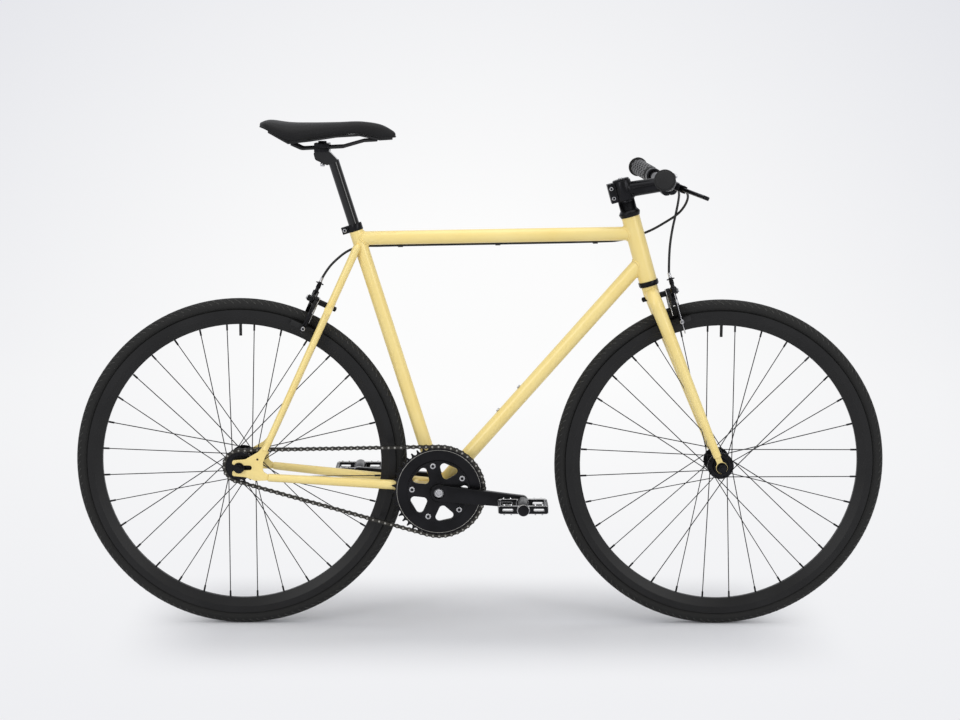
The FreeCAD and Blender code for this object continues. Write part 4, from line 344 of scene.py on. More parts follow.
# %% Saddle cover
# Embossed synthetic leather: cells of about 1.5 mm with soft valleys, matt, a little sheen at the edges.
leather, tree, place = start_material("embossed_synthetic_leather")
cells = add(tree, "ShaderNodeTexVoronoi", {"Vector": place, "Scale": 1 / (1.5 * MM)},
            feature="DISTANCE_TO_EDGE")
rub = add(tree, "ShaderNodeTexNoise", {"Vector": place, "Scale": 1 / (50 * MM), "Detail": 4.0})
bump = add(tree, "ShaderNodeBump", {
    "Height": cells.outputs["Distance"], "Strength": 0.35, "Distance": 0.25 * MM})
show(tree, add(tree, "ShaderNodeBsdfPrincipled", {
    "Base Color": two_tones(tree, rub.outputs["Fac"], "#0e0e0f", "#151517"),
    "Roughness": spread(tree, rub.outputs["Fac"], 0.5, 0.65), "Normal": bump.outputs["Normal"],
    "Specular IOR Level": 0.22, "Sheen Weight": 0.04, "Sheen Roughness": 0.5}))

# %% Dress the solids
finish_of = {
    enamel: ("head_tube", "top_tube", "down_tube", "seat_tube", "bottom_bracket_shell", "chainstays",
             "seatstays", "rear_dropouts", "steerer_tube", "fork_legs"),
    anodised: ("headset_cups", "headset_spacers", "stem", "stem_faceplate",
               "brake_lever_perches", "right_brake_lever", "left_brake_lever", "front_brake_inner_arm",
               "front_brake_outer_arm", "rear_brake_inner_arm", "rear_brake_outer_arm", "front_hub",
               "rear_hub", "right_crank", "chainring", "left_crank", "seat_collar", "right_pedal",
               "left_pedal"),
    polished: ("seatpost", "handlebar"),
    powder: ("front_rim", "rear_rim"),
    steels["black_oxide_steel"]: ("bottom_bracket_cartridge", "rear_axle", "front_axle", "cog",
                                  "pedal_spindles", "saddle_clamp", "rear_brake_bolt", "front_brake_bolt",
                                  "front_spokes", "rear_spokes"),
    steels["bright_zinc_steel"]: ("bottle_cage_bolts", "stem_bolts", "chainring_bolts",
                                  "bottom_bracket_spindle"),
    steels["oiled_chain_steel"]: ("chain",),
    rubbers["tyre_tread_rubber"]: ("front_tyre", "rear_tyre"),
    rubbers["moulded_grip_rubber"]: ("grips",),
    rubbers["brake_block_rubber"]: ("front_brake_inner_pad", "front_brake_outer_pad",
                                    "rear_brake_inner_pad", "rear_brake_outer_pad"),
    rubbers["extruded_cable_housing"]: ("cable_clips", "front_brake_cable", "rear_brake_cable"),
    rubbers["moulded_nylon_black"]: ("saddle_base",),
    leather: ("saddle_cover",),
}
for material, nodes in finish_of.items():
    for node in nodes:
        frame["nodes"][node].data.materials.clear()
        frame["nodes"][node].data.materials.append(material)
print("dressed", sum(len(nodes) for nodes in finish_of.values()), "nodes")

# %% [markdown]
# ## Rounded edges
# No cast or machined piece has a perfectly sharp edge, and the thin bright line along a rounded edge is
# what makes a black crank readable against a black chainring. A solid's own mesh stays as it was packed,
# so each of these pieces is a copy: its loose triangles are joined, its flat faces made whole, and a
# Bevel modifier rounds every edge that turns by more than 40 degrees.


# %% Pieces that stand for a solid
def set_in_scene(name, mesh):
    piece = bpy.data.objects.new(name, mesh)
    bpy.context.scene.collection.objects.link(piece)
    return piece


def made_plain(name, thing):
    """The mesh that an object's modifiers make, as a new piece without them."""
    graph = bpy.context.evaluated_depsgraph_get()
    mesh = bpy.data.meshes.new_from_object(thing.evaluated_get(graph), depsgraph=graph)
    thing.modifiers.clear()
    bpy.data.objects.remove(thing)
    mesh.name = name
    return set_in_scene(name, mesh)


def stand_for(piece, node):
    """Let a piece ride on the body that carries a solid, in its place, and hide the solid."""
    carrier = frame["nodes"][node].parent
    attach(piece, next(body for body, empty in frame["bodies"].items() if empty == carrier))
    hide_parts(node)


# %% Round the edges
# Widths are in millimetres, turns in degrees.
EASED = {"stem": 1.2, "stem_faceplate": 1.2, "right_crank": 1.0, "left_crank": 1.0, "right_pedal": 0.8,
         "left_pedal": 0.8, "front_brake_inner_arm": 1.2, "front_brake_outer_arm": 1.2,
         "rear_brake_inner_arm": 1.2, "rear_brake_outer_arm": 1.2, "front_brake_inner_pad": 1.0,
         "front_brake_outer_pad": 1.0, "rear_brake_inner_pad": 1.0, "rear_brake_outer_pad": 1.0,
         "right_brake_lever": 1.5, "left_brake_lever": 1.5, "brake_lever_perches": 1.2, "seat_collar": 0.6,
         "saddle_clamp": 1.0, "rear_dropouts": 0.5, "headset_cups": 0.6, "headset_spacers": 0.5,
         "grips": 0.8}
WORN = ("right_pedal", "left_pedal")
SAME_PLACE, FLAT_TURN, SHARP_TURN = 0.001, 0.5, 40


def ease_edges(node, width):
    mesh = frame["nodes"][node].data.copy()
    shaper = bmesh.new()
    shaper.from_mesh(mesh)
    bmesh.ops.remove_doubles(shaper, verts=shaper.verts, dist=SAME_PLACE * MM)
    bmesh.ops.dissolve_limit(shaper, angle_limit=math.radians(FLAT_TURN), verts=shaper.verts,
                             edges=shaper.edges)
    for face in shaper.faces:
        face.smooth = True
    shaper.to_mesh(mesh)
    shaper.free()
    rough = set_in_scene(node + "_rough", mesh)
    bevel = rough.modifiers.new("rounding", "BEVEL")
    bevel.width = width * MM
    bevel.segments = 2
    bevel.limit_method = "ANGLE"
    bevel.angle_limit = math.radians(SHARP_TURN)
    bevel.use_clamp_overlap = False
    bevel.harden_normals = True
    if node in WORN:
        rough.data.materials.append(steels["worn_cage_edge"])
        bevel.material = 1
    piece = made_plain(node + "_eased", rough)
    stand_for(piece, node)
    return len(piece.data.polygons)


for node, width in EASED.items():
    print(node, "rounded to", width, "mm,", ease_edges(node, width), "faces")

# %% [markdown]
# ## Brake cables
# A brake cable is a steel wire in a springy plastic sleeve about 5 mm thick. It leaves the lever in line
# with it, falls in one loose bow and enters the brake's barrel from above. The bow is a smooth spline led
# by the points of its route, and the sleeve is a round tube along it. The front one rides the steering; the
# rear one crosses the steering and stays fixed where it is drawn. A metal cap, the ferrule, ends each
# sleeve, and below the barrel the bare wire runs down to its anchor.


# %% Frames at a place
def axes(at, x_axis, y_axis):
    """A frame at a place, from millimetres to the scene's metres."""
    x, y = Vector(x_axis).normalized(), Vector(y_axis).normalized()
    turn = Matrix((x, y, x.cross(y))).transposed().to_4x4()
    return Matrix.Translation(Vector(at) * MM) @ turn @ Matrix.Scale(MM, 4)


def along(start, end):
    """A frame whose Z runs from one place to another."""
    way = (Vector(end) - Vector(start)).normalized()
    x = way.orthogonal().normalized()
    return axes(start, x, way.cross(x))


def mirrored(v):
    """A place or a way on the other side of the bike."""
    return v[0], -v[1], v[2]


# %% Tubes and turned shapes
def skin(rows, sides, hoop=False):
    """Faces between rows of points. A hoop's last row meets its first; otherwise both ends are closed."""
    faces = []
    for i in range(rows if hoop else rows - 1):
        low, high = i * sides, (i + 1) % rows * sides
        faces += [(low + k, low + (k + 1) % sides, high + (k + 1) % sides, high + k) for k in range(sides)]
    if not hoop:
        faces += [tuple(range(sides)), tuple(range((rows - 1) * sides, rows * sides))]
    return faces


def tube(points, radius, sides=12):
    """Corners and faces of a round tube along points in metres, closed at both ends."""
    points = [Vector(p) for p in points]
    verts = []
    up = (points[1] - points[0]).orthogonal().normalized()
    for i, point in enumerate(points):
        ahead = (points[min(i + 1, len(points) - 1)] - points[max(i - 1, 0)]).normalized()
        up = (up - ahead * up.dot(ahead)).normalized()
        side = ahead.cross(up)
        for k in range(sides):
            angle = 2 * math.pi * k / sides
            verts.append(point + (up * math.cos(angle) + side * math.sin(angle)) * radius)
    return verts, skin(len(points), sides)


def turned(at, profile, sides=24, hoop=False):
    """Corners and faces of a piece turned round a frame's Z axis, from (radius, height) pairs."""
    verts = [at @ Vector((r * math.cos(2 * math.pi * k / sides), r * math.sin(2 * math.pi * k / sides), z))
             for r, z in profile for k in range(sides)]
    return verts, skin(len(profile), sides, hoop)


def joined(*shapes):
    verts, faces = [], []
    for corners, sides in shapes:
        start = len(verts)
        verts += corners
        faces += [tuple(start + i for i in face) for face in sides]
    return verts, faces


# %% From a shape to a piece
def solid_mesh(name, shape, material):
    """A closed mesh whose faces point outwards, smooth but for its sharp edges."""
    verts, faces = shape
    mesh = bpy.data.meshes.new(name)
    mesh.from_pydata([tuple(v) for v in verts], [], faces)
    shaper = bmesh.new()
    shaper.from_mesh(mesh)
    bmesh.ops.recalc_face_normals(shaper, faces=shaper.faces)
    shaper.to_mesh(mesh)
    shaper.free()
    mesh.polygons.foreach_set("use_smooth", [True] * len(mesh.polygons))
    mesh.set_sharp_from_angle(angle=math.radians(35))
    mesh.materials.append(material)
    return mesh


def new_piece(name, shape, material, body=None):
    piece = set_in_scene(name, solid_mesh(name, shape, material))
    if body:
        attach(piece, body)
    print(name, len(piece.data.polygons), "faces")
    return piece


# %% Smooth lines
def smooth_line(name, route):
    """Points of a smooth spline with the route as its control points, in metres."""
    data = bpy.data.curves.new(name, "CURVE")
    data.dimensions = "3D"
    data.resolution_u = 10
    spline = data.splines.new("NURBS")
    spline.points.add(len(route) - 1)
    for point, (x, y, z) in zip(spline.points, route):
        point.co = (x * MM, y * MM, z * MM, 1.0)
    spline.order_u = 3
    spline.use_endpoint_u = True
    curve = bpy.data.objects.new(name, data)
    mesh = bpy.data.meshes.new_from_object(curve)
    points = [v.co.copy() for v in mesh.vertices]
    bpy.data.objects.remove(curve)
    return points


def length_of(points):
    return sum((b - a).length for a, b in zip(points, points[1:]))


# %% Ferrules and bare wires
FERRULE = [(2.7, 0.0), (3.2, 0.5), (3.2, 7.6), (3.0, 8.0), (3.2, 8.4), (3.2, 9.4), (2.6, 10.0)]
WIRE_D = 1.6
CRIMP = [(0.9, 0.0), (1.4, 0.6), (1.4, 8.0), (0.9, 9.0)]
CRIMP_BELOW = 8
zinc = steels["bright_zinc_steel"]


def ferrule(name, body, start, end):
    return new_piece(name, turned(along(start, end), FERRULE), zinc, body)


def bare_wire(name, body, top, low):
    """The wire below a brake's barrel, with its crimped tip."""
    tip = Vector(low) + (Vector(low) - Vector(top)).normalized() * CRIMP_BELOW
    return new_piece(name, joined(tube([Vector(top) * MM, Vector(low) * MM], WIRE_D / 2 * MM, 8),
                                  turned(along(low, tip), CRIMP, 10)), zinc, body)


# Places in millimetres: where a sleeve meets its lever and its brake, and where the wire is held.
LEVER_STOP, LEVER_SLEEVE = (389.211, 122.058, 909.346), (390.701, 112.21, 908.451)
BARREL_TOP = {"front": (379.83, -40, 726.403), "rear": (-330.002, 40, 707.121)}
BARREL_SLEEVE = {"front": (377.074, -40, 736.015), "rear": (-325.857, 40, 716.222)}
ANCHOR = {"front": (409.875, -40, 621.625), "rear": (-375.188, 40, 607.929)}
BRAKE_ON = {"front": "steering", "rear": "frame"}
lever_ends = {"front": (LEVER_STOP, LEVER_SLEEVE), "rear": (mirrored(LEVER_STOP), mirrored(LEVER_SLEEVE))}
for brake, holder in BRAKE_ON.items():
    ferrule(brake + "_lever_ferrule", "steering", *lever_ends[brake])
    ferrule(brake + "_barrel_ferrule", holder, BARREL_TOP[brake], BARREL_SLEEVE[brake])
for brake in BRAKE_ON:
    bare_wire(brake + "_brake_wire", brake + "_outer_arm", BARREL_TOP[brake], ANCHOR[brake])

# %% Two brake cables
HOUSING_D = 5.0
routes = {
    "front": [lever_ends["front"][1], (400, 78, 905), (404, 40, 895), (399, 6, 879), (391, -18, 852),
              (382, -32, 818), (376.5, -39, 775), BARREL_SLEEVE["front"]],
    "rear": [lever_ends["rear"][1], (401, -82, 905), (412, -58, 893), (409, -36, 873), (397, -10, 852),
             (375, 12, 835), (347, 22, 817), (316, 25, 805), (284, 17, 797), (255, 6, 794.816),
             (-185, 6, 785.63), (-215, 17, 783.5), (-245, 28, 783), (-275, 34, 772), (-301, 38, 750),
             (-316, 40, 733), BARREL_SLEEVE["rear"]]}
housings = {}
for brake, route in routes.items():
    line = smooth_line(brake + "_line", route)
    housing = new_piece(brake + "_brake_housing", tube(line, HOUSING_D / 2 * MM),
                        rubbers["extruded_cable_housing"])
    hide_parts(brake + "_brake_cable")
    housings[brake] = housing
    print(housing.name, "length", round(length_of(line), 3), "m")
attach(housings["front"], "steering")
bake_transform(housings["rear"])

# %% [markdown]
# ## Repeats with Geometry Nodes
# Spokes, links, screws, tread blocks and weld ripples are one small shape set down many times. A Geometry
# Nodes tree does that: it takes points, turns a copy of the pattern so that its Z follows each point's
# "facing" and its X follows "across", scales it, makes the copies real and gives them a finish. The result
# is then turned into a plain mesh, one for each body that carries it.


# %% A tree that sets a pattern on points
def new_tree(name, inputs):
    """An empty tree with a named input of each kind, and those inputs' sockets."""
    tree = bpy.data.node_groups.new(name, "GeometryNodeTree")
    tree.interface.new_socket("Geometry", in_out="INPUT", socket_type="NodeSocketGeometry")
    for label, kind in inputs.items():
        tree.interface.new_socket(label, in_out="INPUT", socket_type="NodeSocket" + kind)
    tree.interface.new_socket("Geometry", in_out="OUTPUT", socket_type="NodeSocketGeometry")
    return tree, add(tree, "NodeGroupInput").outputs


def end_tree(tree, geometry, finish):
    """Make copies real, give them a finish and hand them out."""
    real = add(tree, "GeometryNodeRealizeInstances", {"Geometry": geometry})
    dressed = add(tree, "GeometryNodeSetMaterial", {"Geometry": real.outputs["Geometry"], "Material": finish})
    add(tree, "NodeGroupOutput", {"Geometry": dressed.outputs["Geometry"]})
    print("tree:", tree.name, len(tree.nodes), "nodes")


copier, given = new_tree("pattern_on_points", {
    "Pattern": "Object", "Width": "Float", "Depth": "Float", "Height": "Float", "Finish": "Material"})
facing, across, size = [
    add(copier, "GeometryNodeInputNamedAttribute", {"Name": label},
        data_type="FLOAT_VECTOR").outputs["Attribute"]
    for label in ("facing", "across", "size")]
upright = add(copier, "FunctionNodeAlignRotationToVector", {"Vector": facing}, axis="Z")
aimed = add(copier, "FunctionNodeAlignRotationToVector", {
    "Rotation": upright.outputs["Rotation"], "Vector": across}, axis="X", pivot_axis="Z")
whole = add(copier, "ShaderNodeCombineXYZ", {"X": given["Width"], "Y": given["Depth"], "Z": given["Height"]})
scaled = add(copier, "ShaderNodeVectorMath", {0: whole.outputs["Vector"], 1: size}, operation="MULTIPLY")
pattern = add(copier, "GeometryNodeObjectInfo", {"Object": given["Pattern"]})
copies = add(copier, "GeometryNodeInstanceOnPoints", {
    "Points": given["Geometry"], "Instance": pattern.outputs["Geometry"],
    "Rotation": aimed.outputs["Rotation"], "Scale": scaled.outputs["Vector"]})
end_tree(copier, copies.outputs["Instances"], given["Finish"])


# %% Pieces made by a tree
def grow(name, tree, base, values, body):
    """The piece that a tree makes of a base mesh, with its named inputs set, on a body."""
    bed = set_in_scene(name + "_base", base)
    maker = bed.modifiers.new("maker", "NODES")
    maker.node_group = tree
    for item in tree.interface.items_tree:
        if item.in_out == "INPUT" and item.name in values:
            maker[item.identifier] = values[item.name]
    piece = made_plain(name, bed)
    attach(piece, body)
    print(name, len(piece.data.polygons), "faces")
    return piece


def points_mesh(places):
    """Loose points, each with the way its copy faces, what lies across it, and its size."""
    mesh = bpy.data.meshes.new("points")
    mesh.from_pydata([tuple(place[0]) for place in places], [], [])
    for index, label in ((1, "facing"), (2, "across"), (3, "size")):
        mesh.attributes.new(label, "FLOAT_VECTOR", "POINT").data.foreach_set(
            "vector", [c for place in places for c in place[index]])
    return mesh


def repeat(name, shape, places, finish, body, sizes=(MM, MM, MM)):
    """A pattern set on places, as one piece."""
    original = bpy.data.objects.new(name + "_pattern", solid_mesh(name + "_pattern", shape, finish))
    values = dict(zip(("Width", "Depth", "Height"), sizes), Pattern=original, Finish=finish)
    piece = grow(name, copier, points_mesh(places), values, body)
    bpy.data.objects.remove(original)
    return piece


# %% [markdown]
# ## Spokes
# Each wheel has 32 spokes that cross three others between hub and rim. A spoke's head sits in the hub's
# flange, its neck bends there, and its far end is screwed into a nipple in the rim. The base mesh is only
# lines: the tree rounds the bend and sweeps a circle along each line.

# %% A tree that sweeps spokes
lacing, given = new_tree("laced_spokes", {
    "Spoke Radius": "Float", "Nipple Radius": "Float", "Bend Radius": "Float", "Finish": "Material"})
thick = add(lacing, "GeometryNodeInputNamedAttribute", {"Name": "thick"}, data_type="BOOLEAN")
kinds = add(lacing, "GeometryNodeSeparateGeometry", {
    "Geometry": given["Geometry"], "Selection": thick.outputs["Attribute"]})
rounds = []
for kind, radius, sides in (("Selection", "Nipple Radius", 8), ("Inverted", "Spoke Radius", 6)):
    line = add(lacing, "GeometryNodeMeshToCurve", {"Mesh": kinds.outputs[kind]})
    bent = add(lacing, "GeometryNodeFilletCurve", {"Curve": line.outputs["Curve"], "Count": 3,
                                                   "Radius": given["Bend Radius"]}, mode="POLY")
    ring = add(lacing, "GeometryNodeCurvePrimitiveCircle", {"Resolution": sides, "Radius": given[radius]})
    swept = add(lacing, "GeometryNodeCurveToMesh", {
        "Curve": bent.outputs["Curve"], "Profile Curve": ring.outputs["Curve"], "Fill Caps": True})
    rounds.append(swept.outputs["Mesh"])
both = add(lacing, "GeometryNodeJoinGeometry", {"Geometry": rounds})
end_tree(lacing, both.outputs["Geometry"], given["Finish"])

# %% Lines of a laced wheel
FRONT_AXLE, REAR_AXLE = Vector((490.5, 0, 339)), Vector((-490.5, 0, 339))
SPOKES, CROSSES, NOSE_R, NIPPLE_L, HEAD_L = 32, 3, 285.5, 12.0, 1.2
SPOKE_R, NIPPLE_R, SPOKE_BEND_R = 1.0, 2.0, 2.0
TRAILING_OUT, LEADING_OUT, FLANGE_HALF, NIPPLE_OFF_MIDDLE = 3.75, -2.55, 1.6, 1.0


def wheel_point(axle, radius, angle, y):
    return axle + Vector((radius * math.cos(angle), y, radius * math.sin(angle)))


def spoke_lines(axle, flange_y, circle_d):
    """Lines of one wheel: a bent line for each spoke, and short thick ones for its head and nipple."""
    verts, edges, thick = [], [], []
    step = 4 * math.pi / SPOKES
    for number in range(SPOKES):
        side, hole = (1, number // 2) if number % 2 else (-1, number // 2)
        trailing = hole % 2 == 0
        hub_angle = step / 4 + (step / 2 if side < 0 else 0) + hole * step
        rim_angle = hub_angle + CROSSES * step * (1 if trailing else -1)
        out = TRAILING_OUT if trailing else LEADING_OUT
        way = math.copysign(1, out)
        foot, head, knob = [wheel_point(axle, circle_d / 2, hub_angle, side * (flange_y + off))
                            for off in (out, -way * FLANGE_HALF, -way * (FLANGE_HALF + HEAD_L))]
        tip = wheel_point(axle, NOSE_R, rim_angle, side * NIPPLE_OFF_MIDDLE)
        neck = tip - (tip - foot).normalized() * NIPPLE_L
        for line, wide in (((head, foot, neck), False), ((neck, tip), True), ((knob, head), True)):
            start = len(verts)
            verts += [tuple(p * MM) for p in line]
            edges += [(start + i, start + i + 1) for i in range(len(line) - 1)]
            thick += [wide] * len(line)
    mesh = bpy.data.meshes.new("spoke_lines")
    mesh.from_pydata(verts, edges, [])
    mesh.attributes.new("thick", "BOOLEAN", "POINT").data.foreach_set("value", thick)
    return mesh


# %% Lace two wheels
for wheel, axle, flange_y, circle_d in (("front", FRONT_AXLE, 34, 46), ("rear", REAR_AXLE, 33, 50)):
    laced = grow(wheel + "_laced_spokes", lacing, spoke_lines(axle, flange_y, circle_d), {
        "Spoke Radius": SPOKE_R * MM, "Nipple Radius": NIPPLE_R * MM, "Bend Radius": SPOKE_BEND_R * MM,
        "Finish": steels["black_oxide_steel"]}, wheel + "_wheel")
    laced.data.polygons.foreach_set("use_smooth", [True] * len(laced.data.polygons))
    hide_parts(wheel + "_spokes")

# %% [markdown]
# ## Chain
# A roller chain is two kinds of link in turn. An inner link is a pair of plates round two rollers, and an
# outer link is a pair of plates outside those, riveted to the pins. Each plate is waisted like a figure of
# eight. The pins sit in the gaps between the teeth, half an inch apart, so the places below come from the
# two tooth counts and the straight runs between them.

# %% One inner and one outer link
PITCH, RING_TEETH, COG_TEETH, RUN_LINKS = 12.7, 46, 16, 32
RING_R, COG_R, CENTRES = 93.0506, 32.5490, 408.2279
RING_START, COG_START = -1.7073873, math.pi - 1.3744468
PLATE_R, WAIST, PLATE_T, PIN_R, ROLLER_R, ROLLER_W = 4.1, 2.5, 1.1, 2.0, 3.85, 3.2
LINK_PLAY, PIN_PROUD, ROUND_SIDES = 0.05, 0.6, 10


def plate(low):
    """One figure-of-eight side plate."""
    outline = []
    for side in (1, -1):
        outline += [(side * (PITCH / 2 + PLATE_R * math.cos(a)), side * PLATE_R * math.sin(a))
                    for a in (math.radians(d) for d in (-125, -90, -55, -18, 18, 55, 90, 125))]
        outline.append((0.0, side * WAIST))
    count = len(outline)
    verts = [Vector((x, y, low + z)) for z in (0, PLATE_T) for x, y in outline]
    faces = [(k, (k + 1) % count, count + (k + 1) % count, count + k) for k in range(count)]
    return verts, faces + [tuple(range(count)), tuple(range(count, 2 * count))]


def pins(radius, reach, sides):
    return joined(*(turned(Matrix.Translation((x, 0, 0)), [(radius, -reach), (radius, reach)], sides)
                    for x in (-PITCH / 2, PITCH / 2)))


half = ROLLER_W / 2
inner_link = joined(plate(half), plate(-half - PLATE_T), pins(ROLLER_R, half - LINK_PLAY, ROUND_SIDES))
outer_link = joined(plate(half + PLATE_T + LINK_PLAY), plate(-half - 2 * PLATE_T - LINK_PLAY))
link_pins = pins(PIN_R, half + 2 * PLATE_T + PIN_PROUD, ROUND_SIDES)

# %% Where the links are
RING_PINS, COG_PINS, CHAIN_LINE = 26, 8, 45
ring_pins = [(CENTRES + RING_R * math.cos(a), RING_R * math.sin(a))
             for a in (RING_START + 2 * math.pi * k / RING_TEETH for k in range(RING_PINS))]
cog_pins = [(COG_R * math.cos(a), COG_R * math.sin(a))
            for a in (COG_START + 2 * math.pi * k / COG_TEETH for k in range(COG_PINS))]


def run_between(start, end):
    return [tuple(Vector(start).lerp(Vector(end), k / RUN_LINKS)) for k in range(1, RUN_LINKS)]


to_cog = run_between(ring_pins[-1], cog_pins[0])
to_ring = run_between(cog_pins[-1], ring_pins[0])
loop = ring_pins + to_cog + cog_pins + to_ring
print("chain:", len(loop), "links")
drive = axes(REAR_AXLE - Vector((0, CHAIN_LINE, 0)), (0.991854, 0, -0.127380), (0.127380, 0, 0.991854))
links = {0: [], 1: []}
for number, here in enumerate(loop):
    here, there = drive @ Vector((*here, 0)), drive @ Vector((*loop[(number + 1) % len(loop)], 0))
    links[number % 2].append(((here + there) / 2, (0, -1, 0), (there - here).normalized(), (1, 1, 1)))
oiled = steels["oiled_chain_steel"]
inner_row = repeat("chain_inner_links", inner_link, links[0], oiled, "frame")
repeat("chain_outer_links", outer_link, links[1], oiled, "frame")
repeat("chain_pins", link_pins, links[1], steels["rubbed_pin_and_highlight_steel"], "frame")
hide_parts("chain")

# %% [markdown]
# ## Tread and grips
# The tyre's crown is smooth, and its shoulders carry rows of slanted blocks half a millimetre high that
# catch the light as small ticks. The blocks are coloured lighter than the tyre, a painted highlight for
# those ticks. The grips are moulded with rows of small pads, set like bricks, so that a hand doesn't slip.
# The pads are coloured lighter grey than the grip, a painted highlight for the light from above. Both are
# the same low block with bevelled sides.

# %% Tread blocks
block = ([Vector(c) for c in ((-.5, -.5, 0), (.5, -.5, 0), (.5, .5, 0), (-.5, .5, 0),
                              (-.42, -.34, 1), (.42, -.34, 1), (.42, .34, 1), (-.42, .34, 1))],
         [(3, 2, 1, 0), (4, 5, 6, 7), (0, 1, 5, 4), (1, 2, 6, 5), (2, 3, 7, 6), (3, 0, 4, 7)])
TYRE_MIDDLE_R, TYRE_TUBE_R, TREAD_BLOCKS = 325.53, 13.47, 140
TREAD_LEANS, TREAD_SUNK, TREAD_SLANT = (-62, -40, 40, 62), 0.5, 0.8
SIDEWALL_RIBS, RIB_HALF, RIB_PROUD = ((319.5, 12.0), (321.5, 12.8)), 0.5, 0.45


def tread_places(axle):
    places = []
    for row, lean in enumerate(math.radians(d) for d in TREAD_LEANS):
        for k in range(TREAD_BLOCKS):
            angle = 2 * math.pi * (k + 0.5 * (row % 2)) / TREAD_BLOCKS
            out = Vector((math.cos(angle), 0, math.sin(angle)))
            rolling = Vector((-math.sin(angle), 0, math.cos(angle)))
            faces_out = out * math.cos(lean) + Vector((0, math.sin(lean), 0))
            at = axle + out * TYRE_MIDDLE_R + faces_out * (TYRE_TUBE_R - TREAD_SUNK)
            slant = rolling + faces_out.cross(rolling) * math.copysign(TREAD_SLANT, lean)
            places.append((at * MM, faces_out, slant.normalized(), (1, 1, 1)))
    return places


for wheel, axle in (("front", FRONT_AXLE), ("rear", REAR_AXLE)):
    body = wheel + "_wheel"
    # The blocks are coloured lighter than the tyre, a painted highlight for the ticks of light they catch.
    repeat(wheel + "_tread", block, tread_places(axle), rubbers["tread_block_rubber_painted_highlight"], body,
           sizes=(8.0 * MM, 2.2 * MM, 1.0 * MM))
    spin = axes(axle, (1, 0, 0), (0, 0, 1))
    ribs = []
    for r, out in SIDEWALL_RIBS:
        for y in (-out, out):
            rib = [(r - RIB_HALF, y), (r, y + math.copysign(RIB_PROUD, y)), (r + RIB_HALF, y)]
            ribs.append(turned(spin, rib, 160, hoop=True))
    new_piece(wheel + "_sidewall_ribs", joined(*ribs), rubbers["tyre_tread_rubber"], body)

# %% Grip pads
BAR_END, BAR_OUT = Vector((340.215, -285, 934.353)), Vector((-0.1494, -0.9848, 0.0895))
GRIP_R, GRIP_ROWS, GRIP_ROUND, GRIP_PITCH, GRIP_START, GRIP_PAD_SUNK = 15.2, 12, 10, 9.2, 12, 0.3
pads = []
for row in range(GRIP_ROWS):
    ring = along(BAR_END - BAR_OUT * (GRIP_START + row * GRIP_PITCH), BAR_END)
    for k in range(GRIP_ROUND):
        angle = 2 * math.pi * (k + 0.5 * (row % 2)) / GRIP_ROUND
        out = Vector((math.cos(angle), math.sin(angle), 0))
        at, facing = ring @ (out * (GRIP_R - GRIP_PAD_SUNK)), (ring.to_3x3() @ out).normalized()
        pads.append((at, facing, BAR_OUT, (1, 1, 1)))
        pads.append((mirrored(at), mirrored(facing), mirrored(BAR_OUT), (1, 1, 1)))
# The pads are coloured lighter grey than the grip, a painted highlight for the light from above.
repeat("grip_pads", block, pads, rubbers["grip_pad_rubber_painted_highlight"], "steering",
       sizes=(6.0 * MM, 7.4 * MM, 2.0 * MM))

# %% [markdown]
# ## Screws
# The bike is held together by socket screws: a round head with a bevelled rim and a six-sided hole for the
# key. One head is modelled with a diameter and height of 1, and the points say how large each one is.


# %% One socket screw
def socket_head(sides=24):
    """A screw head, 1 wide and 1 high, with a hexagonal socket right through it."""
    rows = ((0.47, 0.0, False), (0.5, 0.06, False), (0.5, 0.78, False), (0.42, 1.0, False),
            (0.3, 1.0, True), (0.27, 0.9, True), (0.27, 0.0, True))
    verts = []
    for radius, z, hexagon in rows:
        for k in range(sides):
            angle = 2 * math.pi * k / sides
            flat = math.cos(angle % (math.pi / 3) - math.pi / 6) / math.cos(math.pi / 6)
            reach = radius / flat if hexagon else radius
            verts.append(Vector((reach * math.cos(angle), reach * math.sin(angle), z)))
    return verts, skin(len(rows), sides, hoop=True)


def screw(at, facing, width, height):
    facing = Vector(facing).normalized()
    return Vector(at) * MM, facing, facing.orthogonal().normalized(), (width, width, height)


# %% Where the screws are
BAR_CENTRE = Vector((375.015, 0, 913.453))
STEM_AHEAD, STEM_OVER = Vector((0.988, 0, 0.156)), Vector((-0.156, 0, 0.988))
BOTTOM_BRACKET = Vector((-85.5975, 0, 287))
crank_frame = axes(BOTTOM_BRACKET, (0.99588, 0, -0.09063), (0.09063, 0, 0.99588))
calipers = {"front": axes((375.360, 0, 689.751), (0, 1, 0), (-0.27564, 0, 0.96126)),
            "rear": axes((-330.993, 0, 670.211), (0, -1, 0), (0.415, 0, 0.90982))}
PAD_DROP = {"front": 59.68, "rear": 58.29}
PEDAL = Vector((83.703, 0, 271.592))
FACEPLATE_AHEAD, RING_BOLT_R, CRANK_BOLT_OUT = 15.6, 55, 63.6
DOWN_TUBE_OVER = (-0.7517, 0, 0.6596)


def placed(at_frame, x, y, z, facing, width, height):
    """A screw in a frame's own millimetres."""
    way = at_frame.to_3x3() @ Vector(facing)
    return screw(at_frame @ Vector((x, y, z)) / MM, way, width, height)


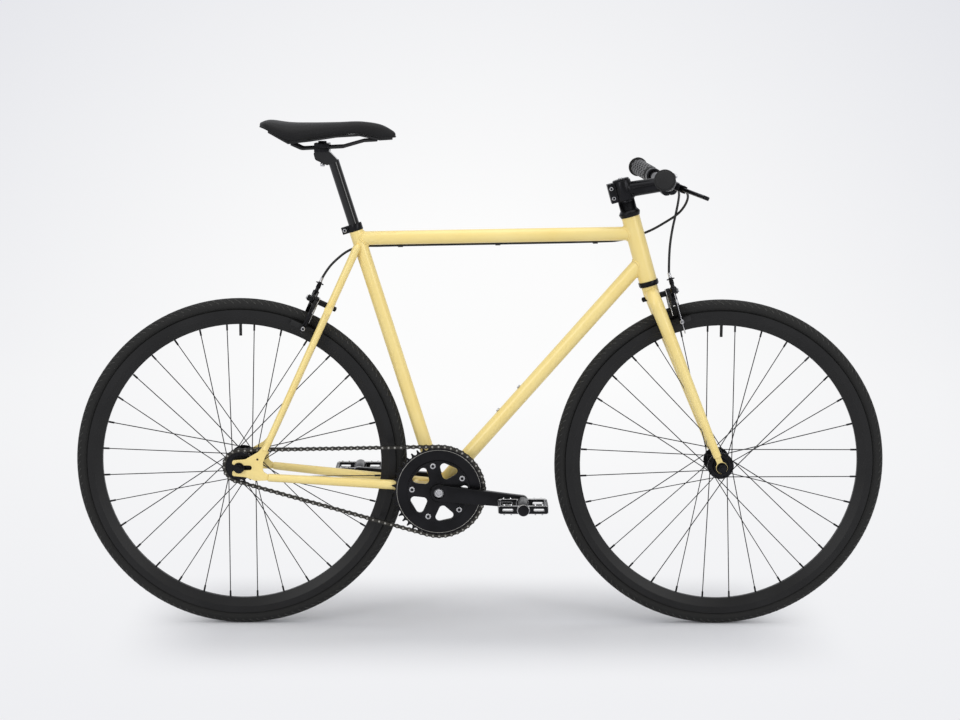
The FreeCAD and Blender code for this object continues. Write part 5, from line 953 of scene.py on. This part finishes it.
faceplate = BAR_CENTRE + STEM_AHEAD * FACEPLATE_AHEAD
screws = {
    "steering": [screw(faceplate + STEM_OVER * up + Vector((0, out, 0)), STEM_AHEAD, 8.4, 4.4)
                 for up in (-12.5, 12.5) for out in (-14, 14)],
    "frame": [screw((35.7, 0, 447.975), DOWN_TUBE_OVER, 8.5, 3.0),
              screw((77.912, 0, 496.08), DOWN_TUBE_OVER, 8.5, 3.0),
              screw((-276.832, -7.6, 816.158), (0, -1, 0), 8.4, 3.0)],
    "crank": [placed(crank_frame, RING_BOLT_R * math.cos(a), RING_BOLT_R * math.sin(a), 51.4,
                     (0, 0, 1), 12.0, 2.2)
              for a in (2 * math.pi * (arm + 0.5) / 5 for arm in range(5))],
    "seat": [screw((-321.333, 0, 951.3), (0, 0, -1), 9.5, 6.0)],
}
screws["steering"] += [screw((266.29, -13.8, 883.284), (0, -1, 0), 8.4, 4.2),
                       screw((260.777, -13.8, 902.509), (0, -1, 0), 8.4, 4.2),
                       screw((279.564, 0, 922.25), (-0.27564, 0, 0.96126), 9.0, 2.2)]
screws["crank"] += [screw(BOTTOM_BRACKET + Vector((0, side * CRANK_BOLT_OUT, 0)), (0, side, 0), 18.0, 3.6)
                    for side in (-1, 1)]
for brake, caliper in calipers.items():
    screws[BRAKE_ON[brake]].append(placed(caliper, 0, 0, 24.2, (0, 0, 1), 9.0, 3.4))
    screws[brake + "_inner_arm"] = [placed(caliper, -40, -17, 12.8, (0, 0, 1), 9.4, 4.2),
                                    placed(caliper, 36.4, -PAD_DROP[brake], 6.0, (1, 0, 0), 9.0, 3.2)]
    screws[brake + "_outer_arm"] = [placed(caliper, -36.4, -PAD_DROP[brake], 14.4, (-1, 0, 0), 9.0, 3.2)]
heads = {body: repeat(body + "_screws", socket_head(), places, zinc, body)
         for body, places in screws.items()}
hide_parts("stem_bolts")
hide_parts("bottle_cage_bolts")
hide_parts("chainring_bolts")

# %% [markdown]
# ## Turned and wire parts
# Small things that give the bike its scale: the stem's top cap, ribs on the cable adjusters so that
# fingers can turn them, a wire spring that opens each brake, a painted highlight ring on the chainring,
# and studs on the pedals that grip a sole.

# %% Top cap, chainring line and springs
STEM_TOP, CAP_TOP = (280.61, 0, 918.599), (279.507, 0, 922.444)
TOP_CAP = [(16.4, 0.0), (17.0, 0.5), (17.0, 2.6), (15.6, 3.6), (8.0, 4.0)]
new_piece("stem_top_cap", turned(along(STEM_TOP, CAP_TOP), TOP_CAP, 40), anodised, "steering")
# A thin ring of bright steel on the chainring's outer face, just inside the teeth, is a painted highlight:
# it stands for the light that the edge of the ring's chamfer catches.
RING_HIGHLIGHT_RING = [(85.2, 46.15), (85.4, 46.28), (86.0, 46.28), (86.2, 46.15)]
new_piece("chainring_turned_line", turned(crank_frame, RING_HIGHLIGHT_RING, 120, hoop=True),
          steels["rubbed_pin_and_highlight_steel"], "crank")
SPRING_R = 0.8
SPRING_HALF = [(-27, -44, 0.6), (-26, -25, 0.6), (-16, -6, 0.6), (-8, 5, 0.6)]
SPRING = SPRING_HALF + [(0, 9, 0.6)] + [(-x, y, z) for x, y, z in reversed(SPRING_HALF)]
for brake, caliper in calipers.items():
    wire = smooth_line(brake + "_spring_line", [caliper @ Vector(p) / MM for p in SPRING])
    new_piece(brake + "_brake_spring", tube(wire, SPRING_R * MM, 8), zinc, BRAKE_ON[brake])

# %% Ribs on the adjusters
RIBS, RIB_SUNK = 18, 0.2


def rib_ring(at_frame, radius, z, length):
    """Ribs round a frame's Z axis."""
    turn = at_frame.to_3x3()
    lengthways = (turn @ Vector((0, 0, 1))).normalized()
    ribs = []
    for k in range(RIBS):
        angle = 2 * math.pi * k / RIBS
        out = Vector((math.cos(angle), math.sin(angle), 0))
        at = at_frame @ (out * (radius - RIB_SUNK) + Vector((0, 0, z)))
        ribs.append((at, (turn @ out).normalized(), lengthways, (length, 1, 1)))
    return ribs


perch = axes((361.075, -147.131, 921.825), BAR_OUT, (0.9103, -0.1718, -0.3767))
adjuster = along(perch @ Vector((-30, 26, 0)) / MM, perch @ Vector((-12, 26, 0)) / MM)
lever_ribs = rib_ring(adjuster, 4.5, 4.0, 7.0)
lever_ribs += [(mirrored(at), mirrored(facing), mirrored(way), size) for at, facing, way, size in lever_ribs]
rib_size = (MM, 1.0 * MM, 0.9 * MM)
repeat("lever_adjuster_ribs", block, lever_ribs, anodised, "steering", sizes=rib_size)
for brake, caliper in calipers.items():
    barrel = along(caliper @ Vector((-40, 8, 14.4)) / MM, caliper @ Vector((-40, 34, 14.4)) / MM)
    ribs = rib_ring(barrel, 7.5, 23.0, 1.9) + rib_ring(barrel, 4.0, 16.0, 9.0)
    repeat(brake + "_barrel_ribs", block, ribs, anodised, brake + "_outer_arm", sizes=rib_size)

# %% Studs on the pedals
stud = turned(Matrix.Identity(4), [(0.5, 0.0), (0.5, 0.75), (0.36, 1.0)], 8)
studs = [(PEDAL + Vector((x, -z, up * 8.4))) for z in (83, 147) for x in (-38, -24, 24, 38) for up in (-1, 1)]
for side, body in ((1, "right_pedal_body"), (-1, "left_pedal_body")):
    places = []
    for at in studs:
        facing = Vector((0, 0, math.copysign(side, (at.z - PEDAL.z) * side)))
        at = at if side > 0 else BOTTOM_BRACKET * 2 - at
        places.append((at * MM, facing, (1, 0, 0), (1, 1, 1)))
    repeat(body + "_studs", stud, places, zinc, body, sizes=(3.4 * MM, 3.4 * MM, 2.4 * MM))

# %% [markdown]
# ## Welds
# The tubes are welded, so a bead runs round each joint like a row of overlapping coins under the paint. Its
# path is where one tube's skin meets the other's: from each point round the thinner tube, a line along its
# axis is followed until it reaches the thicker tube.


# %% Beads round the joints
def meeting_line(start, end, radius, main_at, main_way, main_radius, count):
    """Where a tube that runs from start towards end meets a main tube's skin."""
    start, main_at, main_way = Vector(start), Vector(main_at), Vector(main_way).normalized()
    way = (Vector(end) - start).normalized()
    u = way.orthogonal().normalized()
    v = way.cross(u)
    points = []
    for k in range(count):
        angle = 2 * math.pi * k / count
        foot = start + (u * math.cos(angle) + v * math.sin(angle)) * radius - main_at
        off = foot - main_way * foot.dot(main_way)
        slope = way - main_way * way.dot(main_way)
        a, b, c = slope.dot(slope), off.dot(slope), off.dot(off) - main_radius**2
        points.append(main_at + foot + way * ((-b - math.sqrt(max(b * b - a * c, 0))) / a))
    return points


HEAD_LOW, HEAD_HIGH = Vector((338.770, 0, 715.773)), Vector((301.283, 0, 846.505))
TOP_REAR, TOP_FRONT = Vector((-249.471, 0, 800.485)), Vector((311.123, 0, 812.188))
DOWN_FRONT, SEAT_TOP = Vector((326.917, 0, 757.107)), Vector((-254.34, 0, 815.73))
MIDDLE = (TOP_REAR + TOP_FRONT) / 2
ACROSS = (0, 1, 0)
TOP_R, DOWN_R, SEAT_R, STAY_R, HEAD_R, SHELL_R = 14, 15, 14.3, 10.5, 18.5, 20
RIPPLE_PITCH, RIPPLE_SIZE = 1.7, (4.4, 4.4, 3.4)
JOINTS = [(MIDDLE, TOP_FRONT, TOP_R, HEAD_LOW, HEAD_HIGH - HEAD_LOW, HEAD_R),
          (MIDDLE, TOP_REAR, TOP_R, BOTTOM_BRACKET, SEAT_TOP - BOTTOM_BRACKET, SEAT_R),
          ((BOTTOM_BRACKET + DOWN_FRONT) / 2, DOWN_FRONT, DOWN_R, HEAD_LOW, HEAD_HIGH - HEAD_LOW, HEAD_R),
          (DOWN_FRONT, BOTTOM_BRACKET, DOWN_R, BOTTOM_BRACKET, ACROSS, SHELL_R),
          (SEAT_TOP, BOTTOM_BRACKET, SEAT_R, BOTTOM_BRACKET, ACROSS, SHELL_R)]
for y in (-1, 1):
    stay_end, stay_front = (-431.5, y * 63, 318.7), (-100.098, y * 22, 291.6)
    JOINTS.append((stay_end, stay_front, STAY_R, BOTTOM_BRACKET, ACROSS, SHELL_R))
coin = turned(Matrix.Identity(4), [(0.22, -0.46), (0.42, -0.26), (0.5, 0.0), (0.42, 0.26), (0.22, 0.46)], 8)
ripples = []
for joint in JOINTS:
    count = int(2 * math.pi * joint[2] / RIPPLE_PITCH)
    line = meeting_line(*joint, count)
    for here, there in zip(line, line[1:] + line[:1]):
        way = (there - here).normalized()
        ripples.append((here * MM, way, way.orthogonal().normalized(), RIPPLE_SIZE))
repeat("frame_welds", coin, ripples, enamel, "frame")

# %% [markdown]
# ## Saddle
# The saddle is a moulded shell with foam under a tight cover. Seen from the side its tail kicks up, the
# middle dips and the nose turns down; from above it is a wide tail that narrows to a thumb. It is lofted
# through cross-sections that are crowned on top and drawn in towards the shell. A rolled edge runs round
# it where the cover is folded under the shell.

# %% Saddle form
SADDLE_AT = Vector((-299.33, 0.0, 956.72))
# Each station: place along the saddle, half its width, and its top and bottom above SADDLE_AT.
SADDLE_STATIONS = [(-143, 46, 77.0, 68.0), (-126, 68, 81.5, 61.0), (-86, 73, 77.0, 39.0),
                   (-41, 62, 76.5, 44.0), (9, 42, 77.5, 51.5), (54, 27, 79.0, 54.0),
                   (94, 20, 73.5, 45.5), (119, 14, 61.0, 47.0), (125, 8, 55.0, 48.0)]


def between(stations, share):
    """Smooth values at a share of the way through a list of stations."""
    at = share * (len(stations) - 1)
    i = min(int(at), len(stations) - 2)
    t = at - i
    a, b = stations[max(i - 1, 0)], stations[i]
    c, d = stations[i + 1], stations[min(i + 2, len(stations) - 1)]
    return [0.5 * (2 * q + (r - p) * t + (2 * p - 5 * q + 4 * r - s) * t * t + (3 * q - p - 3 * r + s) * t**3)
            for p, q, r, s in zip(a, b, c, d)]


def saddle_section(x, half_w, high, low):
    """Points round one cross-section: flat below, full at the side, crowned on top."""
    height = high - low
    outline = [(0.0, 0.0), (0.45, 0.0), (0.8, 0.02), (0.93, 0.07), (0.985, 0.2), (1.0, 0.36), (0.985, 0.52),
               (0.93, 0.68), (0.82, 0.82), (0.66, 0.92), (0.46, 0.975), (0.24, 0.995), (0.0, 1.0)]
    ring = [(y * half_w, low + z * height) for y, z in outline]
    ring += [(-y, z) for y, z in reversed(ring[1:-1])]
    return [(SADDLE_AT + Vector((x, y, z))) * MM for y, z in ring]


# %% Loft the saddle
STEPS, EDGE, EDGE_R = 56, 3, 1.3
rings = [saddle_section(*between(SADDLE_STATIONS, k / STEPS)) for k in range(STEPS + 1)]
around = len(rings[0])
verts = [point for ring in rings for point in ring]
faces = []
for i in range(STEPS):
    low, high = i * around, (i + 1) * around
    faces += [(low + k, high + k, high + (k + 1) % around, low + (k + 1) % around) for k in range(around)]
faces += [tuple(range(around)), tuple(reversed(range(STEPS * around, (STEPS + 1) * around)))]
saddle = new_piece("saddle_padding", (verts, faces), leather)
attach(saddle, "seat")
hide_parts("saddle_cover")
edge = [ring[EDGE] for ring in rings] + [ring[around - EDGE] for ring in reversed(rings)]
new_piece("saddle_rolled_edge", tube(edge, EDGE_R * MM, 8), leather, "seat")
